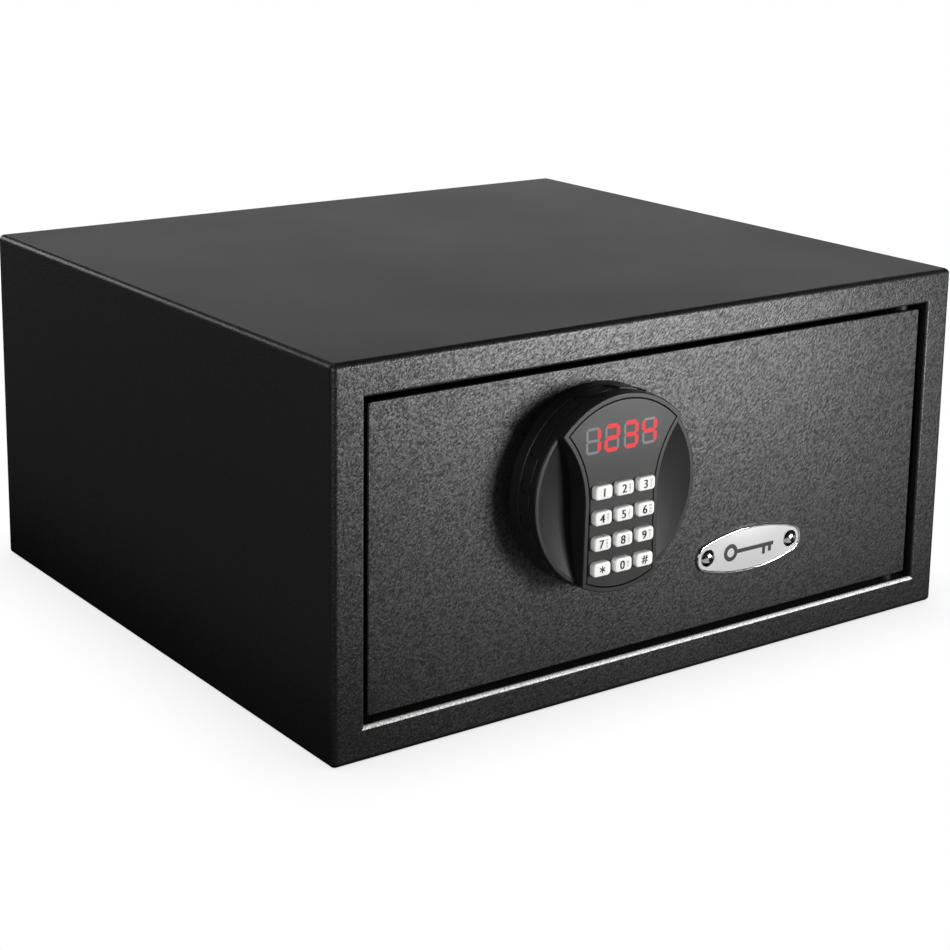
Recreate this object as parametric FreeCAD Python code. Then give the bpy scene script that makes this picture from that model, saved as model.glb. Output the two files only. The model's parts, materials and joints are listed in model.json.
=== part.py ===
"""In-room hotel safe: folded steel cabinet, hinged door, turning keypad knob, bolt work and lock.

Frame: millimetres, +Z up, the front faces -Y.  The origin is the centre of the base, midway
between the four floor anchor holes.
"""
import FreeCAD, Part
import math
import os

V = FreeCAD.Vector
X_AXIS = V(1, 0, 0)
Y_AXIS = V(0, 1, 0)
Z_AXIS = V(0, 0, 1)

# ---------------------------------------------------------------- driving dimensions
# cabinet
WIDTH = 415.0
DEPTH = 375.0
HEIGHT = 200.0
SHEET = 2.0                  # cabinet sheet thickness
EDGE_R = 3.0                 # outer radius of the folded edges
FRAME_FACE = 18.0            # visible front frame round the door opening
OPENING_EDGE_R = 1.5         # rounding of the opening's front edge
JAMB_DEPTH = 16.0            # lip that runs back from the opening
ANCHOR_R = 5.0
ANCHOR_SPAN_X = 280.0
ANCHOR_SPAN_Y = 260.0
BACK_ANCHOR_SPAN = 200.0
BACK_ANCHOR_Z = 130.0
MAT_T = 2.0
MAT_MARGIN = 2.5
MAT_HOLE_R = 7.0

# door
DOOR_GAP = 3.5
DOOR_RECESS = 3.0
DOOR_T = 3.0
DOOR_CORNER_R = 1.5
DOOR_EDGE_R = 0.8

# hinge, on the right-hand side
HINGE_FROM_EDGE = 10.0       # axis to the door's right edge
HINGE_BEHIND_FACE = 6.0      # axis to the door's front face
HINGE_PIN_R = 2.5
HINGE_BUSH_R = 4.0
HINGE_BUSH_LOW = 10.0         # lower bush, from the base
HINGE_BLOCK_H = 16.5
HINGE_BLOCK_LEFT = 8.0       # block's reach left, right and back of the axis
HINGE_BLOCK_RIGHT = 6.0
HINGE_BLOCK_BACK = 6.5
HINGE_SPACER_R = 4.5
RUNNING_CLEARANCE = 0.05     # radial

# lock case on the back of the door
CASE_LEFT = -176.0
CASE_RIGHT = 164.0
CASE_INSET_Z = 4.5           # from the door plate's top and bottom edges
CASE_DEPTH = 35.5
CASE_WALL = 1.5
CASE_POST = 10.0
COVER_T = 1.5
COVER_SCREW_R = 1.5
COVER_SCREW_HEAD_R = 3.0
COVER_EDGE_R = 0.7

# knob
KNOB_X = -50.0
KNOB_Z = 117.0
KNOB_R = 52.5                # base ring and notched rim
KNOB_FRONT_R = 51.7          # front ring and grip bar
KNOB_BASE_H = 7.0            # heights are measured forward from the door's face
KNOB_REAR_H = 7.4
KNOB_RIDGE_H = 15.5
KNOB_RIM_H = 19.5
KNOB_BAR_H = 24.0
KNOB_WALL = 4.0              # side wall of the base ring and the drum
BASE_SKIN = 2.5              # front wall of the base ring
BASE_BOSS_R = 4.5
BASE_SCREW_RING_R = 40.0
BASE_SCREW_R = 1.8
BASE_SCREW_HEAD_R = 3.6
DISH_FLOOR_H = 12.0
DISH_FLOOR_R = 20.0
DISH_RIM_R = 49.3
DISH_SKIN = 1.8
RIM_NOTCHES = 18
NOTCH_FIRST_DEG = 10.0
NOTCH_R = 3.4
NOTCH_DEPTH = 2.2
NOTCH_REACH = 7.6            # how far a notch runs back from the ridge's front edge
BAR_TIP_X = 38.5             # half-width of the grip bar where it meets the top of the ring
BAR_NECK_X = 23.5            # half-width at its waist
BAR_NECK_Z = -4.0
BAR_FOOT_X = 24.2            # half-width at the bottom of the ring
PANEL_INSET = 2.5
PANEL_GAP = 0.55
PANEL_T = 2.5
LEDGE_INSET = 3.3

# keypad and display
KEY_COLUMNS = (-13.8, 0.0, 13.8)
KEY_ROWS = (3.3, -10.1, -23.5, -36.9)
KEY_NAMES = (("1", "2", "3"), ("4", "5", "6"), ("7", "8", "9"), ("star", "0", "hash"))
KEY_W = 11.0
KEY_H = 7.3
KEY_PROUD = 3.0
KEY_CORNER_R = 2.0
KEY_EDGE_R = 1.0
KEY_HOLE_GAP = 0.3
KEY_FLANGE_W = 12.2
KEY_FLANGE_H = 8.7
KEY_FLANGE_T = 1.0
DISPLAY_Z = 29.5
DISPLAY_W = 50.0
DISPLAY_H = 17.6
KEYPAD_BOARD_LOW = 14.4
KEYPAD_BOARD_HIGH = 16.0

# spindle and crank
SPINDLE_R = 10.0
SPINDLE_BORE_R = 5.0
SPINDLE_END_R = 8.0
SPINDLE_FLANGE_R = 32.0
SPINDLE_FLANGE_LOW = 8.2     # heights above the door's face
SPINDLE_SHOULDER_H = 9.0
SPINDLE_SCREW_X = 27.0
SPINDLE_SCREW_Z = 10.0
SPINDLE_SCREW_R = 1.5
BUSH_R = 13.0
BUSH_NUT_AF = 34.0
BUSH_NUT_T = 5.0
CRANK_R = 12.0               # crank pin's distance from the knob's axis
CRANK_PIN_R = 2.5
CRANK_REST_DEG = 45.0
CRANK_DISC_R = 20.0
CABLE_R = 2.0

# bolt work
BOLT_R = 8.0
BOLT_Z = (62.0, 138.0)
BOLT_BACK = 29.5             # bolt axis behind the front frame face
BOLT_TIP_X = -183.0
BOLT_THROW = 2 * CRANK_R * math.sin(math.radians(CRANK_REST_DEG))
BAR_T = 3.0
BAR_FLANGE_X = -150.0
BAR_LOW_Z = 104.0
BAR_HIGH_Z = 137.0
BAR_RIGHT_X = 64.0
BAR_FLANGE_LOW = 45.0
BAR_FLANGE_HIGH = 155.0
BAR_FLANGE_BACK = 9.0        # behind the bolts' axes
BAR_POST_W = 22.0
BOLT_THREAD_R = 4.0
BOLT_NUT_AF = 13.0
BOLT_NUT_T = 6.5
GUIDE_WALL = 2.0
GUIDE_LENGTH = 8.0
STUD_X = (-110.0, -5.0)
STUD_R = 3.0

# solenoid lock
SOLENOID_X = 37.0
SOLENOID_HALF_W = 11.0
SOLENOID_PLATE = 2.0
COIL_R = 9.0
COIL_LOW = 64.0
COIL_HIGH = 88.0
PLUNGER_R = 3.0
PLUNGER_LOW_Z = 50.0
PLUNGER_BORE_R = 3.3
CROSS_PIN_R = 2.0
PLUNGER_TIP_GAP = 1.0
NOTCH_IN_BAR_W = 7.0
NOTCH_IN_BAR_H = 5.0

# key-operated override lock and the badge that covers it
BADGE_X = 61.0
BADGE_Z = 60.0
BADGE_SCREW_X = 30.2         # screws left and right of the badge's centre
BADGE_END_R = 7.8
BADGE_HALF_H = 12.6
BADGE_T = 1.6
BADGE_RIM_W = 1.3
BADGE_FIELD_T = 1.0          # plate thickness inside the rim
BADGE_SCREW_R = 2.5
BADGE_SCREW_HEAD_R = 4.8
BADGE_SCREW_HEAD_H = 2.4
BADGE_SCREW_RIM_H = 0.4      # straight rim under the dome
BADGE_SOCKET_AF = 3.0
BADGE_SOCKET_DEPTH = 1.5
BARREL_R = 9.5
PLUG_R = 6.0
LOCK_NUT_AF = 22.0
LOCK_NUT_T = 4.0
KEYWAY_HALF_W = 0.8
KEYWAY_HALF_H = 4.2
KEYWAY_DEPTH = 18.0
CAM_LENGTH = 27.0
CAM_W = 8.0
CAM_HUB_R = 6.5
CAM_SQUARE = 3.0             # half the width of the square drive

# control board and reset button
BOARD_X0 = 102.0
BOARD_X1 = 158.0
BOARD_Z0 = 40.0
BOARD_Z1 = 98.0
BOARD_T = 1.6
BOARD_CORNER = 4.0           # standoffs in from the board's edges
STANDOFF_R = 3.0
STANDOFF_H = 6.0
RESET_X = 140.0
RESET_Z = 60.0
RESET_R = 3.0
RESET_PROUD = 2.5

# battery box
TRAY_LEFT = 28.0
TRAY_RIGHT = 94.0
TRAY_LOW = 92.0
TRAY_HIGH = 158.0
TRAY_WALL = 3.0
CELL_R = 7.1
CELL_LENGTH = 50.5
CELL_PITCH = 14.6
CELL_CAP_R = 2.7
CELL_CAP_H = 1.5
TRAY_FLOOR = 1.5
TRAY_BEZEL = 3.0
LID_GAP = 0.4
LID_T = 2.5
LID_STUB_R = 1.0

# ---------------------------------------------------------------- planes worked out from them
FACE_Y = -DEPTH / 2                      # front frame face
DOOR_Y = FACE_Y + DOOR_RECESS            # door's front face
DOOR_BACK_Y = DOOR_Y + DOOR_T
OPENING_X = WIDTH / 2 - FRAME_FACE
OPENING_LOW = FRAME_FACE
OPENING_HIGH = HEIGHT - FRAME_FACE
DOOR_X = OPENING_X - DOOR_GAP
DOOR_LOW = OPENING_LOW + DOOR_GAP
DOOR_HIGH = OPENING_HIGH - DOOR_GAP
MID_Z = HEIGHT / 2
JAMB_FRONT_Y = FACE_Y + SHEET
HINGE_X = DOOR_X - HINGE_FROM_EDGE
HINGE_Y = DOOR_Y + HINGE_BEHIND_FACE
CASE_LOW = DOOR_LOW + CASE_INSET_Z
CASE_HIGH = DOOR_HIGH - CASE_INSET_Z
CASE_BACK_Y = DOOR_BACK_Y + CASE_DEPTH
COVER_BACK_Y = CASE_BACK_Y + COVER_T
BOLT_Y = FACE_Y + BOLT_BACK
BAR_FRONT_Y = DOOR_BACK_Y + 12.5
BAR_BACK_Y = BAR_FRONT_Y + BAR_T
BAR_MID_Y = (BAR_FRONT_Y + BAR_BACK_Y) / 2
DISC_FRONT_Y = DOOR_BACK_Y + 6.5
DISC_BACK_Y = DOOR_BACK_Y + 10.5
CABLE_JOIN_Y = DISC_BACK_Y + 1.0
CAM_FRONT_Y = DOOR_BACK_Y + 25.0
CAM_BACK_Y = CAM_FRONT_Y + 2.0
BOARD_BACK_Y = CASE_BACK_Y - STANDOFF_H
BOARD_FRONT_Y = BOARD_BACK_Y - BOARD_T
LID_BACK_Y = COVER_BACK_Y + 2.0
LID_AXIS_X = 89.2
LID_AXIS_Y = LID_BACK_Y - LID_T / 2


# ---------------------------------------------------------------- helpers
def block(x0, x1, y0, y1, z0, z1):
    """A box between two corners."""
    return Part.makeBox(x1 - x0, y1 - y0, z1 - z0, V(x0, y0, z0))


def rod_x(radius, x0, x1, y, z):
    return Part.makeCylinder(radius, x1 - x0, V(x0, y, z), X_AXIS)


def rod_y(radius, y0, y1, x, z):
    return Part.makeCylinder(radius, y1 - y0, V(x, y0, z), Y_AXIS)


def rod_z(radius, z0, z1, x, y):
    return Part.makeCylinder(radius, z1 - z0, V(x, y, z0), Z_AXIS)


def knob_rod(radius, low, high, dx=0.0, dz=0.0):
    """A cylinder along the knob's axis between two heights above the door's face."""
    return rod_y(radius, DOOR_Y - high, DOOR_Y - low, KNOB_X + dx, KNOB_Z + dz)


def hexagon_y(across, y0, y1, x, z):
    """A hexagonal prism along Y."""
    corner = across / math.sqrt(3)
    turns = [math.radians(60 * i) for i in range(7)]
    points = [V(x + corner * math.cos(t), y0, z + corner * math.sin(t)) for t in turns]
    return Part.Face(Part.makePolygon(points)).extrude(V(0, y1 - y0, 0))


def hexagon_x(across, x0, x1, y, z):
    """A hexagonal prism along X."""
    corner = across / math.sqrt(3)
    turns = [math.radians(60 * i) for i in range(7)]
    points = [V(x0, y + corner * math.cos(t), z + corner * math.sin(t)) for t in turns]
    return Part.Face(Part.makePolygon(points)).extrude(V(x1 - x0, 0, 0))


def edges_along(shape, direction):
    """The straight edges parallel to a direction."""
    found = []
    for edge in shape.Edges:
        if edge.Curve.TypeId == "Part::GeomLine":
            if abs(edge.tangentAt(edge.FirstParameter).dot(direction)) > 0.999:
                found.append(edge)
    return found


def edges_at_y(shape, y):
    """The edges that lie in the plane at y."""
    def flat(box):
        return abs(box.YMin - y) < 1e-4 and abs(box.YMax - y) < 1e-4

    return [e for e in shape.Edges if flat(e.BoundBox)]


def slot_y(half_width, x0, x1, z, y0, y1):
    """A slot through Y with round ends, between the two end centres."""
    middle = block(x0, x1, y0, y1, z - half_width, z + half_width)
    ends = [rod_y(half_width, y0, y1, x, z) for x in (x0, x1)]
    return middle.fuse(ends)


def group(solids):
    return Part.makeCompound(solids)


def save(node, shape):
    shape = shape.removeSplitter() if shape.ShapeType != "Compound" else shape
    shape.exportStep("parts/" + node + ".step")


# ---------------------------------------------------------------- cabinet
def anchor_points():
    return [(sx * ANCHOR_SPAN_X / 2, sy * ANCHOR_SPAN_Y / 2) for sx in (-1, 1) for sy in (-1, 1)]


def body_shell():
    """Top, sides, base and front frame, folded from one sheet and open at the back."""
    outer = block(-WIDTH / 2, WIDTH / 2, FACE_Y, DEPTH / 2 - SHEET, 0, HEIGHT)
    outer = outer.makeFillet(EDGE_R, edges_along(outer, Y_AXIS) + edges_at_y(outer, FACE_Y))
    inner = block(-WIDTH / 2 + SHEET, WIDTH / 2 - SHEET, FACE_Y + SHEET, DEPTH / 2, SHEET, HEIGHT - SHEET)
    inner = inner.makeFillet(EDGE_R - SHEET, edges_along(inner, Y_AXIS))
    opening = block(-OPENING_X, OPENING_X, FACE_Y - 1, FACE_Y + 2 * SHEET, OPENING_LOW, OPENING_HIGH)
    shell = outer.cut([inner, opening])
    rim = []
    for edge in edges_at_y(shell, FACE_Y):
        box = edge.BoundBox
        if max(abs(box.XMin), abs(box.XMax)) < OPENING_X + 0.01 and box.ZMin > OPENING_LOW - 0.01:
            rim.append(edge)
    shell = shell.makeFillet(OPENING_EDGE_R, rim)
    return shell.cut([rod_z(ANCHOR_R, -1, SHEET + 1, x, y) for x, y in anchor_points()])


def back_panel():
    y0 = DEPTH / 2 - SHEET
    panel = block(-WIDTH / 2, WIDTH / 2, y0, DEPTH / 2, 0, HEIGHT)
    panel = panel.makeFillet(EDGE_R, edges_along(panel, Y_AXIS))
    half_span = BACK_ANCHOR_SPAN / 2
    through = (y0 - 1, DEPTH / 2 + 1)
    return panel.cut([rod_y(ANCHOR_R, *through, x, BACK_ANCHOR_Z) for x in (-half_span, half_span)])


def door_jamb():
    """The lip that lines the opening; the bolts catch behind its left side."""
    y1 = JAMB_FRONT_Y + JAMB_DEPTH
    x = OPENING_X + SHEET
    outer = block(-x, x, JAMB_FRONT_Y, y1, OPENING_LOW - SHEET, OPENING_HIGH + SHEET)
    inner = block(-OPENING_X, OPENING_X, JAMB_FRONT_Y - 1, y1 + 1, OPENING_LOW, OPENING_HIGH)
    bush_hole = rod_z(HINGE_BUSH_R, 0, HEIGHT, HINGE_X, HINGE_Y)
    return outer.cut([inner, bush_hole])


def mirrored_pair(lower):
    """A lower hinge piece and its copy at the top of the door."""
    return group([lower, lower.mirror(V(0, 0, MID_Z), Z_AXIS)])


def hinge_bushes():
    sleeve = rod_z(HINGE_BUSH_R, HINGE_BUSH_LOW, OPENING_LOW, HINGE_X, HINGE_Y)
    flange = rod_z(HINGE_BUSH_R + 2, OPENING_LOW - 2 * SHEET, OPENING_LOW - SHEET, HINGE_X, HINGE_Y)
    bore = rod_z(HINGE_PIN_R + RUNNING_CLEARANCE, HINGE_BUSH_LOW - 1, OPENING_LOW + 1, HINGE_X, HINGE_Y)
    return mirrored_pair(sleeve.fuse(flange).cut(bore))


def floor_mat():
    x = WIDTH / 2 - SHEET - MAT_MARGIN
    y0 = JAMB_FRONT_Y + JAMB_DEPTH + MAT_MARGIN
    mat = block(-x, x, y0, DEPTH / 2 - SHEET - MAT_MARGIN, SHEET, SHEET + MAT_T)
    return mat.cut([rod_z(MAT_HOLE_R, 0, 10, px, py) for px, py in anchor_points()])


# ---------------------------------------------------------------- door
def base_screw_points():
    turns = [math.radians(a) for a in (90, 210, 330)]
    return [(BASE_SCREW_RING_R * math.cos(t), BASE_SCREW_RING_R * math.sin(t)) for t in turns]


def badge_screw_points():
    return [BADGE_X - BADGE_SCREW_X, BADGE_X + BADGE_SCREW_X]


def door_plate():
    plate = block(-DOOR_X, DOOR_X, DOOR_Y, DOOR_BACK_Y, DOOR_LOW, DOOR_HIGH)
    plate = plate.makeFillet(DOOR_CORNER_R, edges_along(plate, Y_AXIS))
    plate = plate.makeFillet(DOOR_EDGE_R, edges_at_y(plate, DOOR_Y))
    through = (DOOR_Y - 1, DOOR_BACK_Y + 1)
    holes = [rod_y(BUSH_R, *through, KNOB_X, KNOB_Z), rod_y(BARREL_R, *through, BADGE_X, BADGE_Z)]
    holes += [rod_y(BASE_SCREW_R, *through, KNOB_X + dx, KNOB_Z + dz) for dx, dz in base_screw_points()]
    holes += [rod_y(BADGE_SCREW_R, *through, x, BADGE_Z) for x in badge_screw_points()]
    return plate.cut(holes)


def hinge_blocks():
    lower = block(HINGE_X - HINGE_BLOCK_LEFT, HINGE_X + HINGE_BLOCK_RIGHT,
                  DOOR_BACK_Y, HINGE_Y + HINGE_BLOCK_BACK, DOOR_LOW, DOOR_LOW + HINGE_BLOCK_H)
    return mirrored_pair(lower.cut(rod_z(HINGE_PIN_R, 0, MID_Z, HINGE_X, HINGE_Y)))


def hinge_pins():
    return mirrored_pair(rod_z(HINGE_PIN_R, HINGE_BUSH_LOW + 1, DOOR_LOW + HINGE_BLOCK_H, HINGE_X, HINGE_Y))


def hinge_spacers():
    ring = rod_z(HINGE_SPACER_R, OPENING_LOW + 0.1, DOOR_LOW, HINGE_X, HINGE_Y)
    return mirrored_pair(ring.cut(rod_z(HINGE_PIN_R, 0, MID_Z, HINGE_X, HINGE_Y)))


def case_posts():
    """Corner posts that take the cover screws, as (x0, x1, z0, z1)."""
    left = CASE_LEFT + CASE_WALL
    right = CASE_RIGHT - CASE_WALL
    low = CASE_LOW + CASE_WALL
    high = CASE_HIGH - CASE_WALL
    columns = ((left, left + CASE_POST), (right - CASE_POST, right))
    rows = ((low, low + CASE_POST), (high - CASE_POST, high))
    return [(x0, x1, z0, z1) for x0, x1 in columns for z0, z1 in rows]


def cover_screw_points():
    return [((x0 + x1) / 2, (z0 + z1) / 2) for x0, x1, z0, z1 in case_posts()]


def lock_case():
    """Four welded walls behind the door plate, with a post in each corner."""
    outer = block(CASE_LEFT, CASE_RIGHT, DOOR_BACK_Y, CASE_BACK_Y, CASE_LOW, CASE_HIGH)
    inner = block(CASE_LEFT + CASE_WALL, CASE_RIGHT - CASE_WALL, DOOR_BACK_Y - 1, CASE_BACK_Y + 1,
                  CASE_LOW + CASE_WALL, CASE_HIGH - CASE_WALL)
    case = outer.cut(inner)
    posts = [block(x0, x1, DOOR_BACK_Y, CASE_BACK_Y, z0, z1) for x0, x1, z0, z1 in case_posts()]
    left_wall = (CASE_LEFT - 1, CASE_LEFT + CASE_WALL + 1)
    holes = [rod_x(BOLT_R + GUIDE_WALL, *left_wall, BOLT_Y, z) for z in BOLT_Z]
    for x, z in cover_screw_points():
        holes.append(rod_y(COVER_SCREW_R, CASE_BACK_Y - 10, CASE_BACK_Y + 1, x, z))
    return case.fuse(posts).cut(holes)


def inner_cover():
    """Back cover of the lock case, with the board's standoffs on its inner face."""
    cover = block(CASE_LEFT, CASE_RIGHT, CASE_BACK_Y, COVER_BACK_Y, CASE_LOW, CASE_HIGH)
    cover = cover.makeFillet(COVER_EDGE_R, edges_at_y(cover, COVER_BACK_Y))
    columns = (BOARD_X0 + BOARD_CORNER, BOARD_X1 - BOARD_CORNER)
    rows = (BOARD_Z0 + BOARD_CORNER, BOARD_Z1 - BOARD_CORNER)
    cover = cover.fuse([rod_y(STANDOFF_R, BOARD_BACK_Y, CASE_BACK_Y, x, z) for x in columns for z in rows])
    through = (CASE_BACK_Y - 1, COVER_BACK_Y + 1)
    holes = [rod_y(COVER_SCREW_R, *through, x, z) for x, z in cover_screw_points()]
    holes.append(block(TRAY_LEFT, TRAY_RIGHT, *through, TRAY_LOW, TRAY_HIGH))
    holes.append(rod_y(RESET_R + 0.2, *through, RESET_X, RESET_Z))
    return cover.cut(holes)


def pan_screw_y(shank_r, head_r, head_h, seat_y, tip_y, x, z):
    """A pan-head screw along Y, cross-slotted; the head stands away from the tip."""
    away = 1 if seat_y > tip_y else -1
    shank = rod_y(shank_r, min(seat_y, tip_y), max(seat_y, tip_y), x, z)
    top_y = seat_y + away * head_h
    head = rod_y(head_r, min(seat_y, top_y), max(seat_y, top_y), x, z)
    head = head.makeFillet(head_h * 0.45, edges_at_y(head, top_y))
    arm_r = head_r * 0.6
    arm_w = head_h * 0.18
    cross = [block(x - arm_r, x + arm_r, -0.5, 0.5, z - arm_w, z + arm_w),
             block(x - arm_w, x + arm_w, -0.5, 0.5, z - arm_r, z + arm_r)]
    for arm in cross:
        arm.translate(V(0, top_y, 0))
    return head.cut(cross).fuse(shank)


def cover_screws():
    ends = (COVER_BACK_Y, CASE_BACK_Y - 8)
    return group([pan_screw_y(COVER_SCREW_R, COVER_SCREW_HEAD_R, 2.0, *ends, x, z)
                  for x, z in cover_screw_points()])


def knob_base():
    """Fixed ring on the door that the knob turns in front of."""
    ring = knob_rod(KNOB_R, 0, KNOB_BASE_H)
    ring = ring.makeFillet(0.6, edges_at_y(ring, DOOR_Y - KNOB_BASE_H))
    pocket = knob_rod(KNOB_R - KNOB_WALL, -1, KNOB_BASE_H - BASE_SKIN)
    hub = knob_rod(BUSH_R + KNOB_WALL, -2, KNOB_BASE_H)
    bosses = [knob_rod(BASE_BOSS_R, -2, KNOB_BASE_H, dx, dz) for dx, dz in base_screw_points()]
    ring = ring.cut([pocket.cut([hub] + bosses), knob_rod(BUSH_R, -1, KNOB_BASE_H + 1)])
    return ring.cut([knob_rod(BASE_SCREW_R, -1, KNOB_BASE_H - 2, dx, dz) for dx, dz in base_screw_points()])


def base_screws():
    ends = (DOOR_BACK_Y, DOOR_Y - KNOB_BASE_H + BASE_SKIN)
    return group([pan_screw_y(BASE_SCREW_R, BASE_SCREW_HEAD_R, 2.2, *ends, KNOB_X + dx, KNOB_Z + dz)
                  for dx, dz in base_screw_points()])


def spindle_bush():
    sleeve = rod_y(BUSH_R, DOOR_Y - KNOB_BASE_H + 0.4, DOOR_BACK_Y + BUSH_NUT_T, KNOB_X, KNOB_Z)
    bore = rod_y(SPINDLE_R + RUNNING_CLEARANCE, DOOR_Y - 20, DOOR_BACK_Y + 10, KNOB_X, KNOB_Z)
    return sleeve.cut(bore)


def bush_nut():
    nut = hexagon_y(BUSH_NUT_AF, DOOR_BACK_Y, DOOR_BACK_Y + BUSH_NUT_T, KNOB_X, KNOB_Z)
    return nut.cut(rod_y(BUSH_R, DOOR_BACK_Y - 1, DOOR_BACK_Y + BUSH_NUT_T + 1, KNOB_X, KNOB_Z))


def bolt_guides():
    guides = []
    for z in BOLT_Z:
        sleeve = rod_x(BOLT_R + GUIDE_WALL, CASE_LEFT, CASE_LEFT + GUIDE_LENGTH, BOLT_Y, z)
        flange = rod_x(BOLT_R + 2 * GUIDE_WALL, CASE_LEFT - GUIDE_WALL, CASE_LEFT, BOLT_Y, z)
        bore = rod_x(BOLT_R + RUNNING_CLEARANCE, CASE_LEFT - 3, CASE_LEFT + GUIDE_LENGTH + 1, BOLT_Y, z)
        guides.append(sleeve.fuse(flange).cut(bore))
    return group(guides)


def guide_studs():
    studs = []
    for x in STUD_X:
        shoulder = rod_y(STUD_R + 2.5, DOOR_BACK_Y, BAR_FRONT_Y - 0.3, x, KNOB_Z)
        shank = rod_y(STUD_R, DOOR_BACK_Y, BAR_BACK_Y + 0.5, x, KNOB_Z)
        head = rod_y(STUD_R + 2, BAR_BACK_Y + 0.5, BAR_BACK_Y + 2, x, KNOB_Z)
        studs.append(shoulder.fuse([shank, head]))
    return group(studs)


# ---------------------------------------------------------------- bolt work
def bolt_bar():
    """Flanged bar that carries both bolts; the crank pin moves it through an upright slot."""
    ends = (BAR_FLANGE_LOW, BAR_FLANGE_HIGH)
    back = BOLT_Y + BAR_FLANGE_BACK
    flange = block(BAR_FLANGE_X, BAR_FLANGE_X + BAR_T, BAR_FRONT_Y, back, *ends)
    post = block(BAR_FLANGE_X, BAR_FLANGE_X + BAR_POST_W, BAR_FRONT_Y, BAR_BACK_Y, *ends)
    arm = block(BAR_FLANGE_X, BAR_RIGHT_X, BAR_FRONT_Y, BAR_BACK_Y, BAR_LOW_Z, BAR_HIGH_Z)
    y0 = BAR_FRONT_Y - 1
    y1 = BAR_BACK_Y + 1
    pin_x = KNOB_X + BOLT_THROW / 2
    low = KNOB_Z + BOLT_THROW / 2
    high = KNOB_Z + CRANK_R
    half = CRANK_PIN_R + 0.5
    cuts = [block(pin_x - half, pin_x + half, y0, y1, low - half, high + half)]
    cuts.append(slot_y(CABLE_R + 0.8, KNOB_X - 0.5, KNOB_X + BOLT_THROW + 0.5, KNOB_Z, y0, y1))
    cuts += [slot_y(STUD_R + 0.2, x - 0.3, x + BOLT_THROW + 0.3, KNOB_Z, y0, y1) for x in STUD_X]
    for x in (SOLENOID_X, SOLENOID_X + BOLT_THROW):
        half_w = NOTCH_IN_BAR_W / 2
        cuts.append(block(x - half_w, x + half_w, y0, y1, BAR_LOW_Z - 1, BAR_LOW_Z + NOTCH_IN_BAR_H))
    cuts += [rod_x(BOLT_THREAD_R, BAR_FLANGE_X - 1, BAR_FLANGE_X + BAR_T + 1, BOLT_Y, z) for z in BOLT_Z]
    return flange.fuse([post, arm]).cut(cuts)


def locking_bolts():
    bolts = []
    for z in BOLT_Z:
        body = rod_x(BOLT_R, BOLT_TIP_X, BAR_FLANGE_X, BOLT_Y, z)
        tip = [e for e in body.Edges if e.BoundBox.XMax < BOLT_TIP_X + 1e-4]
        thread = rod_x(BOLT_THREAD_R, BAR_FLANGE_X, BAR_FLANGE_X + BAR_T + BOLT_NUT_T + 1.5, BOLT_Y, z)
        bolts.append(body.makeChamfer(1.2, tip).fuse(thread))
    return group(bolts)


def bolt_nuts():
    x0 = BAR_FLANGE_X + BAR_T
    x1 = x0 + BOLT_NUT_T
    nuts = []
    for z in BOLT_Z:
        thread = rod_x(BOLT_THREAD_R, x0 - 1, x1 + 1, BOLT_Y, z)
        nuts.append(hexagon_x(BOLT_NUT_AF, x0, x1, BOLT_Y, z).cut(thread))
    return group(nuts)


# ---------------------------------------------------------------- solenoid
def solenoid_frame():
    x0 = SOLENOID_X - SOLENOID_HALF_W
    x1 = SOLENOID_X + SOLENOID_HALF_W
    low = COIL_LOW - SOLENOID_PLATE
    high = COIL_HIGH + SOLENOID_PLATE
    y1 = BAR_MID_Y + COIL_R + 1
    back = block(x0, x1, DOOR_BACK_Y, DOOR_BACK_Y + SOLENOID_PLATE, low, high)
    plates = [block(x0, x1, DOOR_BACK_Y, y1, z, z + SOLENOID_PLATE) for z in (low, COIL_HIGH)]
    return back.fuse(plates).cut(rod_z(PLUNGER_BORE_R, low - 1, high + 1, SOLENOID_X, BAR_MID_Y))


def solenoid_coil():
    coil = rod_z(COIL_R, COIL_LOW, COIL_HIGH, SOLENOID_X, BAR_MID_Y)
    return coil.cut(rod_z(PLUNGER_BORE_R, COIL_LOW - 1, COIL_HIGH + 1, SOLENOID_X, BAR_MID_Y))


def plunger():
    """Locking plunger, with the cross pin that the override cam presses down."""
    stem = rod_z(PLUNGER_R, PLUNGER_LOW_Z, BAR_LOW_Z - PLUNGER_TIP_GAP, SOLENOID_X, BAR_MID_Y)
    pin_z = BADGE_Z - CAM_W / 2 - CROSS_PIN_R - 0.5
    return stem.fuse(rod_y(CROSS_PIN_R, BAR_MID_Y, CAM_BACK_Y + 1, SOLENOID_X, pin_z))


# ---------------------------------------------------------------- electronics and batteries
def control_board():
    return block(BOARD_X0, BOARD_X1, BOARD_FRONT_Y, BOARD_BACK_Y, BOARD_Z0, BOARD_Z1)


def board_components():
    """Cable socket, chip, relay, capacitor and the reset switch."""
    front = BOARD_FRONT_Y
    socket = block(BOARD_X0, BOARD_X0 + 10, front - 7, front, 76, 86)
    chip = block(120, 138, front - 2.4, front, 58, 70)
    relay = block(140, 155, front - 12, front, 76, 90)
    capacitor = rod_y(5, front - 11, front, 126, 86)
    half = RESET_R
    reset_switch = block(RESET_X - half, RESET_X + half, BOARD_BACK_Y, BOARD_BACK_Y + 2,
                         RESET_Z - half, RESET_Z + half)
    return group([socket, chip, relay, capacitor, reset_switch])


def reset_button():
    top_y = COVER_BACK_Y + RESET_PROUD
    cap = rod_y(RESET_R, CASE_BACK_Y - 1.4, top_y, RESET_X, RESET_Z)
    cap = cap.makeFillet(0.8, edges_at_y(cap, top_y))
    return cap.fuse(rod_y(RESET_R + 1.5, CASE_BACK_Y - 2.4, CASE_BACK_Y - 1.0, RESET_X, RESET_Z))


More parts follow.
